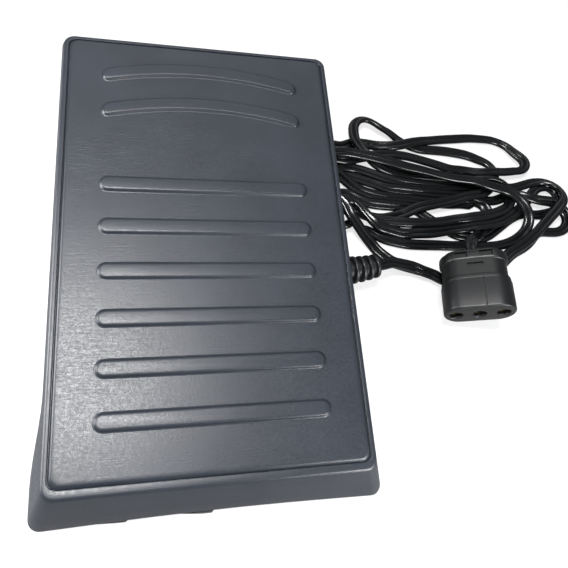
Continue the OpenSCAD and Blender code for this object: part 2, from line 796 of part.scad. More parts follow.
// Two resistors lying on the board
module resistors() {
    color("#b79f7c") for (k = [0, 1]) translate([board_x0 + 28, board_y0 + 22 + 5 * k, board_top]) {
        rod_x(0, 7, 0, 1.5, 1.3);
        rod_x(-2, 0.1, 0, 1.5, 0.35);
        rod_x(6.9, 9, 0, 1.5, 0.35);
        for (x = [-2.35, 8.65]) translate([x, -0.35, 0]) cube([0.7, 0.7, 1.85]);
    }
}

// Two-way block at the board's right edge, open towards the lead
module terminal_block() {
    color("#33604f") difference() {
        translate([block_x, exit_y - 6, board_top]) cube([9, 12, 8]);
        for (s = [-1, 1]) {
            rod_x(block_x + 3, block_x + 10, exit_y + s * block_bore_y, block_z, core_d / 2 + 0.2);
            translate([block_x + 4.5, exit_y + s * block_bore_y, board_top + 4]) cylinder(h = 5, r = 1.6);
        }
    }
}

module terminal_screws() {
    color("#b8a15a") for (s = [-1, 1])
        translate([block_x + 4.5, exit_y + s * block_bore_y, board_top + 4]) difference() {
            cylinder(h = 3, r = 1.6);
            translate([-2, -0.3, 2]) cube([4, 0.6, 2]);
        }
}

// ---------------------------------------------------------------- lead inside the pedal

// Sheathed end of the lead from the relief to the clamp, then its two cores
module inner_leads() {
    sheath_in = clamp_x - clamp_l / 2 - 1;
    apart = (lead_w - lead_t) / 2;
    color("#1a1b1d") {
        sweep_flat([[wall_in_x - relief_flange, exit_y, exit_z], [sheath_in, exit_y, exit_z]],
            lead_section(lead_w, lead_t));
        for (s = [-1, 1]) sweep_flat([[sheath_in + 1, exit_y + s * apart, exit_z],
            [sheath_in - 1, exit_y + s * apart, exit_z],
            [block_x + 10, exit_y + s * block_bore_y, block_z],
            [block_x + 4, exit_y + s * block_bore_y, block_z]], lead_section(core_d, core_d));
    }
}

module cord_clamp() {
    z0 = exit_z - lead_t / 2;
    color("#3a3c40") difference() {
        translate([clamp_x - clamp_l / 2, exit_y - clamp_w / 2, z0]) cube([clamp_l, clamp_w, 4.4]);
        translate([clamp_x - clamp_l, exit_y - lead_w / 2, z0 - 1])
            cube([2 * clamp_l, lead_w, lead_t + 1]);
        clamp_screw_places() cylinder(h = far, r = 1.5);
    }
}

module clamp_screws() {
    color("#b9bcc0") clamp_screw_places() pan_screw(exit_z - lead_t / 2 + 4.4, 7);
}

// Grommet whose neck sits in the wall, with ribs that let it bend
module strain_relief() {
    core_r = lead_w / 2 + 1.5;
    color("#1b1c1f") {
        rod_x(wall_in_x - relief_flange, wall_in_x, exit_y, exit_z, neck_r + 1);
        rod_x(wall_in_x, ridge_x0, exit_y, exit_z, neck_r);
        rod_x(base_x, ridge_x0, exit_y, exit_z, ridge_r);
        for (k = [0:ridges - 1])
            translate([ridge_x0 + bend_x(k), exit_y + bend_y(k), exit_z])
                rotate([0, 0, (k + 0.5) * ridge_bend]) {
                    rod_x(-0.3, ridge_pitch, 0, 0, core_r - 0.12 * k);
                    rod_x(ridge_pitch - 1.7, ridge_pitch - 0.1, 0, 0,
                        ridge_r + (ridge_end_r - ridge_r) * k / (ridges - 1));
                }
    }
}

// ---------------------------------------------------------------- lead outside

module lead_outgoing() {
    start = [for (d = [0, 2]) [d * cos(tip_turn), d * sin(tip_turn), exit_z]];
    color("#131416") sweep_flat(from_tip(concat(start, outgoing_route)),
        lead_section(lead_w, lead_t));
}

module lead_crossing() {
    color("#131416") sweep_flat(from_tip(crossing_route), lead_section(lead_w, lead_t));
}

module lead_plug_end() {
    finish = [for (d = [4, 0]) [plug_x - (plug_l + d) * sin(plug_yaw),
        plug_y + (plug_l + d) * cos(plug_yaw), plug_z]];
    color("#131416") sweep_flat(concat(from_tip(plug_end_route), finish),
        lead_section(lead_w, lead_t));
}

// Outer shape of the folded lead, one flat block with round ends
module lead_bundle() {
    color("#1a1b1d") translate([tip_x + bundle_across, tip_y + bundle_up, 0])
        rotate(bundle_turn) linear_extrude(bundle_h)
            round_rect(-bundle_l / 2, -bundle_w / 2, bundle_l / 2, bundle_w / 2, bundle_r);
}

// ---------------------------------------------------------------- machine plug

// Flat body with round sides, w wide, between two depths
module plug_slab(w, h, y0, y1) {
    for (x = [-1, 1]) translate([x * (w - h) / 2, y1, 0]) rotate([90, 0, 0])
        cylinder(h = y1 - y0, r = h / 2);
    translate([-(w - h) / 2, y0, -h / 2]) cube([w - h, y1 - y0, h]);
}

module plug_rear() {
    color("#33363a") on_plug() difference() {
        // a collar, a slight waist, the grip's flange and its stepped back
        union() {
            plug_slab(plug_w - 0.6, plug_h, face_l, face_l + 2.2);
            plug_slab(plug_w - 2.4, plug_h - 0.8, face_l + 2, plug_l - 6);
            plug_slab(plug_w - 0.6, plug_h, plug_l - 6.2, plug_l - 1.2);
            plug_slab(plug_w - 3, plug_h - 1.6, plug_l - 1.4, plug_l);
        }
        for (s = [-1, 1]) translate([s * 5.2 - 2.8, plug_l - 4.6, plug_h / 2 - 2]) cube([5.6, 3.2, 5]);
        translate([-3.2, plug_l - 9.2, plug_h / 2 - 1.4]) cube([7, 2, 3]);
    }
}

// Puts children at each pin, with +Z out of the plug's face from the depth d
module pin_places(d) {
    on_plug() for (x = [-1, 0, 1]) translate([x * pin_pitch, d, 0]) rotate([90, 0, 0])
        children();
}

module plug_face() {
    color("#3a3d40") difference() {
        on_plug() plug_slab(plug_w, plug_h, 0, face_l);
        on_plug() translate([2.3, -1, plug_h / 2 - 0.4]) cube([0.8, face_l + 2, 1]);
        pin_places(pin_depth) cylinder(h = pin_depth + 1, r = pin_r);
    }
}

// Brass sleeves in the pin holes, set back from the face
module plug_contacts() {
    color("#b08d3c") pin_places(pin_depth) difference() {
        cylinder(h = pin_depth - sleeve_in, r = pin_r);
        translate([0, 0, -1]) cylinder(h = pin_depth, r = pin_r - sleeve_t);
    }
}

treadle();
base_tray();
hinge_axle();
hinge_caps();
return_spring(-spring_x);  // return_spring_left
return_spring(spring_x);  // return_spring_right
stop_bumpers();
rubber_feet();
circuit_board();
board_screws();
potentiometer();
wiper_lever();
triac();
heat_sink();
triac_screw();
choke_coil();
capacitor();
resistors();
terminal_block();
terminal_screws();
inner_leads();
cord_clamp();
clamp_screws();
strain_relief();
lead_outgoing();
lead_crossing();
lead_bundle();
lead_plug_end();
plug_rear();
plug_face();
plug_contacts();
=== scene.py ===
import math

import bmesh
import bpy
import numpy as np
from mathutils import Matrix, Vector


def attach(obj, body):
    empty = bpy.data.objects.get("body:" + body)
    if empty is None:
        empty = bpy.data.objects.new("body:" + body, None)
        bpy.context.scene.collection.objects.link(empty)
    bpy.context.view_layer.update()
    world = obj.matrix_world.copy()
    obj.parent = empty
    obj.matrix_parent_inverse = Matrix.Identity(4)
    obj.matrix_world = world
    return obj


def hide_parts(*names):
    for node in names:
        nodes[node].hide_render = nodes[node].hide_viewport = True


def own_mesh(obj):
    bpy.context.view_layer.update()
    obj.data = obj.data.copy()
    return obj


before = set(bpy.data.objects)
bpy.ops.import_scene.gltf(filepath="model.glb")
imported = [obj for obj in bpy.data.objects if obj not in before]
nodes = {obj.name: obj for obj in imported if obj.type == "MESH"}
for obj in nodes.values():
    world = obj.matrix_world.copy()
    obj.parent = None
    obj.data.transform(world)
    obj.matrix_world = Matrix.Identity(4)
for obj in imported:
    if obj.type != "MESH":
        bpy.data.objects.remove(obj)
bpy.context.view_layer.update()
MM = 0.001

# Sizes and places of the part in millimetres and degrees, as its source has them
DECK_W, DECK_L, SLOPE, HEEL_H, DECK_Y0 = 108.0, 174.0, 8.0, 17.0, -83.309
RIM_R, EDGE_R, RIM_W, HEEL_RIM_W, GROOVE_D, PANEL_H, PANEL_R = 4.0, 0.8, 1.7, 2.8, 0.6, 0.5, 3.2
FLARE, HEEL_FLARE, LIP_D = 22.4, 25.0, 3.6
HEEL_D, HEEL_DROP, HEEL_RUN, LIP_RUN = 12.5, 1.6, 3.0, 33.0
RIB_PITCH, RIB_W, RIB_L, RIB_H, RIB_START = 17.05, 5.6, 78.2, 1.0, 21.85
RIB_RISE, CURVED_PITCH = 4.6, 16.4
TIP, TIP_TURN = (72.669, 0.146, 11.0), 15.0
PLUG, PLUG_YAW, PLUG_ROLL = (112.069, -26.054, 16.474), -9.5, -28.0
PLUG_W, PLUG_H, PLUG_L, FACE_L, PIN_PITCH, PIN_R = 29.2, 14.4, 28.8, 12.9, 9.5, 2.6
LEAD_W, LEAD_T = 5.4, 2.7
RIDGES, RIDGE_PITCH, RIDGE_BEND, RIDGE_R, RIDGE_END_R = 6, 3.4, 2.5, 6.4, 5.2
RIDGE_X0, EXIT_Y, WALL_X, NECK_R = 52.5, -2.509, 48.3, 4.5

# From the deck's own axes and from the plug's into the part's
DECK = Matrix.Translation((0, DECK_Y0, HEEL_H)) @ Matrix.Rotation(math.radians(SLOPE), 4, "X")
ON_PLUG = (Matrix.Translation(PLUG) @ Matrix.Rotation(math.radians(PLUG_YAW), 4, "Z")
           @ Matrix.Rotation(math.radians(PLUG_ROLL), 4, "Y"))


# ---------------------------------------------------------------- helpers

def rgb(code):
    """An sRGB hex colour as a linear one with alpha."""
    parts = [int(code[i:i + 2], 16) / 255 for i in (1, 3, 5)]
    return [p / 12.92 if p <= 0.04045 else ((p + 0.055) / 1.055) ** 2.4 for p in parts] + [1.0]


def add(tree, kind, inputs=None, **settings):
    """A node with its settings; an input gets a constant, or a link where it is given a socket."""
    n = tree.nodes.new(kind)
    for key, value in settings.items():
        setattr(n, key, value)
    for key, value in (inputs or {}).items():
        if isinstance(value, bpy.types.NodeSocket):
            tree.links.new(value, n.inputs[key])
        else:
            n.inputs[key].default_value = value
    return n


def linked(name, data):
    """An object at the origin with the given data, in the scene."""
    obj = bpy.data.objects.new(name, data)
    bpy.context.scene.collection.objects.link(obj)
    return obj


def welded(mesh, smooth_angle):
    """Welds a mesh, turns its faces outwards and shades it smooth up to an angle."""
    b = bmesh.new()
    b.from_mesh(mesh)
    bmesh.ops.remove_doubles(b, verts=b.verts, dist=1e-6)
    bmesh.ops.recalc_face_normals(b, faces=b.faces)
    for e in b.edges:
        e.smooth = len(e.link_faces) == 2 and e.calc_face_angle(0) < math.radians(smooth_angle)
    for f in b.faces:
        f.smooth = True
    b.to_mesh(mesh)
    b.free()
    return mesh


def mesh_object(name, points, faces):
    """An object from points in millimetres, welded and facing outwards."""
    mesh = bpy.data.meshes.new(name)
    mesh.from_pydata([[c * MM for c in p] for p in points], [], faces)
    return linked(name, welded(mesh, 35.0))


def around(count):
    """Cosine and sine of evenly spaced directions round a circle."""
    return [(math.cos(2 * math.pi * k / count), math.sin(2 * math.pi * k / count)) for k in range(count)]


def loft(loops):
    """Points and faces of a closed skin over loops with the same count of points."""
    n = len(loops[0])
    points = [p for loop in loops for p in loop]
    faces = []
    for i in range(len(loops) - 1):
        for k in range(n):
            a, b = i * n + k, i * n + (k + 1) % n
            faces.append((a, b, b + n, a + n))
    last = (len(loops) - 1) * n
    return points, faces + [tuple(range(n))[::-1], tuple(range(last, last + n))]


def placed(name, loops, matrix):
    """A closed solid over loops that are given in the axes of a matrix."""
    points, faces = loft(loops)
    return mesh_object(name, [tuple(matrix @ Vector(p)) for p in points], faces)


def joined(objects, name):
    """One object with the meshes of several, whose own objects are removed."""
    b = bmesh.new()
    for o in objects:
        b.from_mesh(o.data)
        bpy.data.objects.remove(o)
    mesh = bpy.data.meshes.new(name)
    b.to_mesh(mesh)
    b.free()
    return linked(name, mesh)


def poly_curve(name, points, tilts=None):
    """A curve through points in millimetres, with a tilt at each if there are any."""
    curve = bpy.data.curves.new(name, "CURVE")
    curve.dimensions = "3D"
    run = curve.splines.new("POLY")
    run.points.add(len(points) - 1)
    for k, point in enumerate(run.points):
        point.co = (*[float(c) * MM for c in points[k]], 1.0)
        if tilts is not None:
            point.tilt = float(tilts[k])
    return linked(name, curve)


def boolean(obj, other, operation):
    """obj cut by, or kept within, another object, which is then removed."""
    mod = obj.modifiers.new("cut", "BOOLEAN")
    mod.operation, mod.object, mod.solver = operation, other, "EXACT"
    made = bpy.data.meshes.new_from_object(obj.evaluated_get(bpy.context.evaluated_depsgraph_get()))
    obj.modifiers.remove(mod)
    obj.data = made
    bpy.data.objects.remove(other)
    return obj


def tree_with(name, inputs):
    """A Geometry Nodes tree with named inputs, and each input's identifier."""
    tree = bpy.data.node_groups.new(name, "GeometryNodeTree")
    tree.interface.new_socket("Geometry", in_out="INPUT", socket_type="NodeSocketGeometry")
    tree.interface.new_socket("Geometry", in_out="OUTPUT", socket_type="NodeSocketGeometry")
    keys = {}
    for label, kind in inputs:
        keys[label] = tree.interface.new_socket(
            label, in_out="INPUT", socket_type="NodeSocket" + kind).identifier
    return tree, keys, tree.nodes.new("NodeGroupInput")


def closing(tree, geometry, given):
    """The end of a tree: real geometry with the chosen material."""
    real = add(tree, "GeometryNodeRealizeInstances", {"Geometry": geometry})
    last = add(tree, "GeometryNodeSetMaterial",
               {"Geometry": real.outputs["Geometry"], "Material": given.outputs["Material"]})
    add(tree, "NodeGroupOutput", {"Geometry": last.outputs["Geometry"]})


def grown(obj, tree, keys, values, name, smooth_angle=35.0):
    """The plain mesh that a tree makes of an object, which is then removed."""
    mod = obj.modifiers.new("grown", "NODES")
    mod.node_group = tree
    for label, value in values.items():
        mod[keys[label]] = value
    mesh = bpy.data.meshes.new_from_object(obj.evaluated_get(bpy.context.evaluated_depsgraph_get()))
    obj.modifiers.remove(mod)
    bpy.data.objects.remove(obj)
    piece = linked(name, welded(mesh, smooth_angle))
    piece.data.materials.clear()
    piece.data.materials.append(values["Material"])
    return piece


# ---------------------------------------------------------------- camera

camera = linked("camera", bpy.data.cameras.new("camera"))
bpy.context.scene.camera = camera
camera.data.lens, camera.data.sensor_width = 33.76, 36.0
camera.data.clip_start, camera.data.clip_end = 0.01, 20.0
gaze, above = Vector((0.23858, 0.44135, -0.86503)), Vector((0.00837, 0.88979, 0.45630))
across = gaze.cross(above).normalized()
above = across.cross(gaze).normalized()
camera.matrix_world = Matrix.Translation(Vector((-20.64, -103.63, 197.86)) * MM) @ Matrix(
    (across, above, -gaze)).transposed().to_4x4()


# ---------------------------------------------------------------- materials

def shader(name):
    """A material with an empty tree but for its output and its main shader."""
    m = bpy.data.materials.new(name)
    m.use_nodes = True
    t = m.node_tree
    t.nodes.clear()
    main = t.nodes.new("ShaderNodeBsdfPrincipled")
    add(t, "ShaderNodeOutputMaterial", {"Surface": main.outputs["BSDF"]})
    return m, t, main


def noise(t, vector, mm, detail=3.0, rough=0.5):
    """Noise whose features are about so many millimetres wide, from 0 to 1."""
    return add(t, "ShaderNodeTexNoise", {"Vector": vector, "Scale": 1000.0 / mm, "Detail": detail,
                                         "Roughness": rough}).outputs["Fac"]


def ranged(t, value, a, b, low_end, high_end):
    """A value brought from one range into another."""
    return add(t, "ShaderNodeMapRange", {"Value": value, "From Min": a, "From Max": b,
                                         "To Min": low_end, "To Max": high_end}).outputs["Result"]


def mixed(t, fac, a, b):
    """Colours a and b mixed by fac."""
    return add(t, "ShaderNodeMix", {0: fac, 6: a, 7: b}, data_type="RGBA").outputs[2]


def worked(t, kind, a, b=0.0):
    """The result of a math node on a and b."""
    return add(t, "ShaderNodeMath", {0: a, 1: b}, operation=kind).outputs[0]


def bumped(t, main, height, depth_mm, strength=1.0):
    """Sets the shader's normal from a height of 0 to 1 and a depth in millimetres."""
    n = add(t, "ShaderNodeBump", {"Height": height, "Distance": depth_mm * MM, "Strength": strength})
    t.links.new(n.outputs["Normal"], main.inputs["Normal"])


def stretched(t, scale, turn=(0, 0, 0)):
    """Object coordinates scaled along each axis."""
    where = t.nodes.new("ShaderNodeTexCoord").outputs["Object"]
    return add(t, "ShaderNodeMapping", {"Vector": where, "Scale": scale,
                                        "Rotation": turn}).outputs["Vector"]


def moulded(name, light, dark, rough, grain_mm=0.6, grain_depth=0.02, spread=0.06, ior=1.5,
            scratches=0.0):
    """Injection-moulded plastic: a fine tool texture, faint mottling and, if worn, hairlines."""
    m, t, main = shader(name)
    where = t.nodes.new("ShaderNodeTexCoord").outputs["Object"]
    grain = noise(t, where, grain_mm, 4.0, 0.6)
    cloud = noise(t, where, 22.0, 3.0, 0.6)
    colour = mixed(t, ranged(t, cloud, 0.3, 0.7, 0.0, 1.0), rgb(light), rgb(dark))
    height = grain
    if scratches:
        lines = noise(t, stretched(t, (0.035, 1.0, 1.0), (0, 0, 0.06)), 0.35, 2.0, 0.5)
        fine = ranged(t, lines, 0.52, 0.72, 0.0, 1.0)
        patch = ranged(t, noise(t, where, 30.0, 2.0, 0.5), 0.35, 0.65, 0.0, 1.0)
        worn = worked(t, "MULTIPLY", fine, patch)
        height = worked(t, "SUBTRACT", grain, worked(t, "MULTIPLY", worn, scratches))
    t.links.new(colour, main.inputs["Base Color"])
    t.links.new(ranged(t, grain, 0.3, 0.7, rough - spread, rough + spread), main.inputs["Roughness"])
    main.inputs["IOR"].default_value = ior
    bumped(t, main, height, grain_depth)
    return m


def metal(name, colour, rough, line_mm=0.12, along=(1, 1, 1), depth=0.004):
    """Metal with fine drawing or turning lines."""
    m, t, main = shader(name)
    lines = noise(t, stretched(t, along), line_mm, 3.0, 0.5)
    main.inputs["Metallic"].default_value = 1.0
    t.links.new(mixed(t, lines, rgb(colour), [c * 0.82 for c in rgb(colour)[:3]] + [1.0]),
                main.inputs["Base Color"])
    t.links.new(ranged(t, lines, 0.3, 0.7, rough - 0.06, rough + 0.08), main.inputs["Roughness"])
    bumped(t, main, lines, depth)
    return m


# The treadle: ABS with an eroded mould texture, worn by shoes into a satin with
# hairlines across, so that a lamp above spreads into a broad soft glare
treadle_abs = moulded("treadle_abs_textured", "#262a32", "#1f232a", 0.38, 0.9, 0.030, 0.07,
                      scratches=0.6)
# The base: the same ABS, less worn and darker
base_abs = moulded("base_abs_textured", "#202328", "#1a1d21", 0.5, 0.8, 0.02)
# The lead: extruded soft PVC, nearly black, with a waxy shine along both cores
lead_pvc = moulded("lead_pvc_extruded", "#0b0d0e", "#08090a", 0.24, 1.5, 0.0015, 0.03)
# The relief: moulded soft PVC, duller than the lead
relief_pvc = moulded("relief_pvc_moulded", "#1a1b1e", "#141517", 0.44, 0.5, 0.012)
# The plug: moulded stiff PVC with a fine satin texture; its front is the same PVC
# painted a little lighter, a painted highlight for the light that falls on the front
plug_pvc = moulded("plug_pvc_moulded", "#0a0b0c", "#08090a", 0.42, 0.45, 0.014)
plug_pvc_painted_lighter = moulded("plug_pvc_front_painted_highlight", "#0d0e10", "#0a0b0d", 0.42, 0.45, 0.014)
# Rubber feet and bumpers: dull black with a powdery mottling
foot_rubber = moulded("foot_rubber_moulded", "#191a1c", "#131415", 0.72, 0.7, 0.02)
cap_nylon = moulded("cap_nylon_moulded", "#17181a", "#121315", 0.42, 0.6, 0.01)
part_pbt = moulded("component_pbt_moulded", "#1e2022", "#18191b", 0.5, 0.4, 0.012)
lever_acetal = moulded("lever_acetal_moulded", "#c9c5ba", "#bdb9ae", 0.38, 0.5, 0.008)
block_pa = moulded("block_polyamide_moulded", "#2f5a4b", "#294f42", 0.45, 0.5, 0.01)
capacitor_epoxy = moulded("capacitor_epoxy_dipped", "#c39a27", "#b38b1e", 0.22, 1.6, 0.03)
resistor_lacquer = moulded("resistor_lacquer_dipped", "#b09a78", "#a38d6c", 0.35, 0.9, 0.02)
# The board: glass laminate under a green solder resist, whose weave shows faintly
board_resist = moulded("board_resist_coated", "#2c6543", "#265a3b", 0.28, 0.6, 0.01)
spring_steel = metal("spring_steel_drawn", "#a6a9ad", 0.3)
axle_steel = metal("axle_steel_ground", "#9a9da1", 0.24, 0.1, (1, 8, 8))
screw_steel = metal("screw_steel_zinc", "#b4b6b2", 0.34)
sink_aluminium = metal("sink_aluminium_rolled", "#c3c6c9", 0.36, 0.2, (1, 10, 10))
coil_copper = metal("coil_copper_enamelled", "#a35f2a", 0.26)
# The contacts: turned brass, dulled by handling
contact_brass = metal("contact_brass_turned", "#9c8a58", 0.32)

dress = {
    "treadle": treadle_abs, "base_tray": base_abs, "hinge_axle": axle_steel, "hinge_caps": cap_nylon,
    "return_spring_left": spring_steel, "return_spring_right": spring_steel,
    "stop_bumpers": foot_rubber, "rubber_feet": foot_rubber, "circuit_board": board_resist,
    "board_screws": screw_steel, "potentiometer": part_pbt, "wiper_lever": lever_acetal,
    "triac": part_pbt, "heat_sink": sink_aluminium, "triac_screw": screw_steel,
    "choke_coil": coil_copper, "capacitor": capacitor_epoxy, "resistors": resistor_lacquer,
    "terminal_block": block_pa, "terminal_screws": contact_brass, "inner_leads": lead_pvc,
    "cord_clamp": part_pbt, "clamp_screws": screw_steel, "strain_relief": relief_pvc,
    "lead_outgoing": lead_pvc, "lead_crossing": lead_pvc, "lead_bundle": lead_pvc,
    # The plug's face takes the PVC painted lighter, a painted highlight
    "lead_plug_end": lead_pvc, "plug_rear": plug_pvc, "plug_face": plug_pvc_painted_lighter,
    "plug_contacts": contact_brass,
}
for name, material in dress.items():
    mesh = nodes[name].data
    if not mesh.materials:
        mesh.materials.append(material)
    for i in range(len(mesh.materials)):
        mesh.materials[i] = material


# ---------------------------------------------------------------- lead

def from_tip(points):
    """Points in millimetres from the relief's tip, with heights from the floor."""
    return [(TIP[0] + x, TIP[1] + y, z) for x, y, z in points]


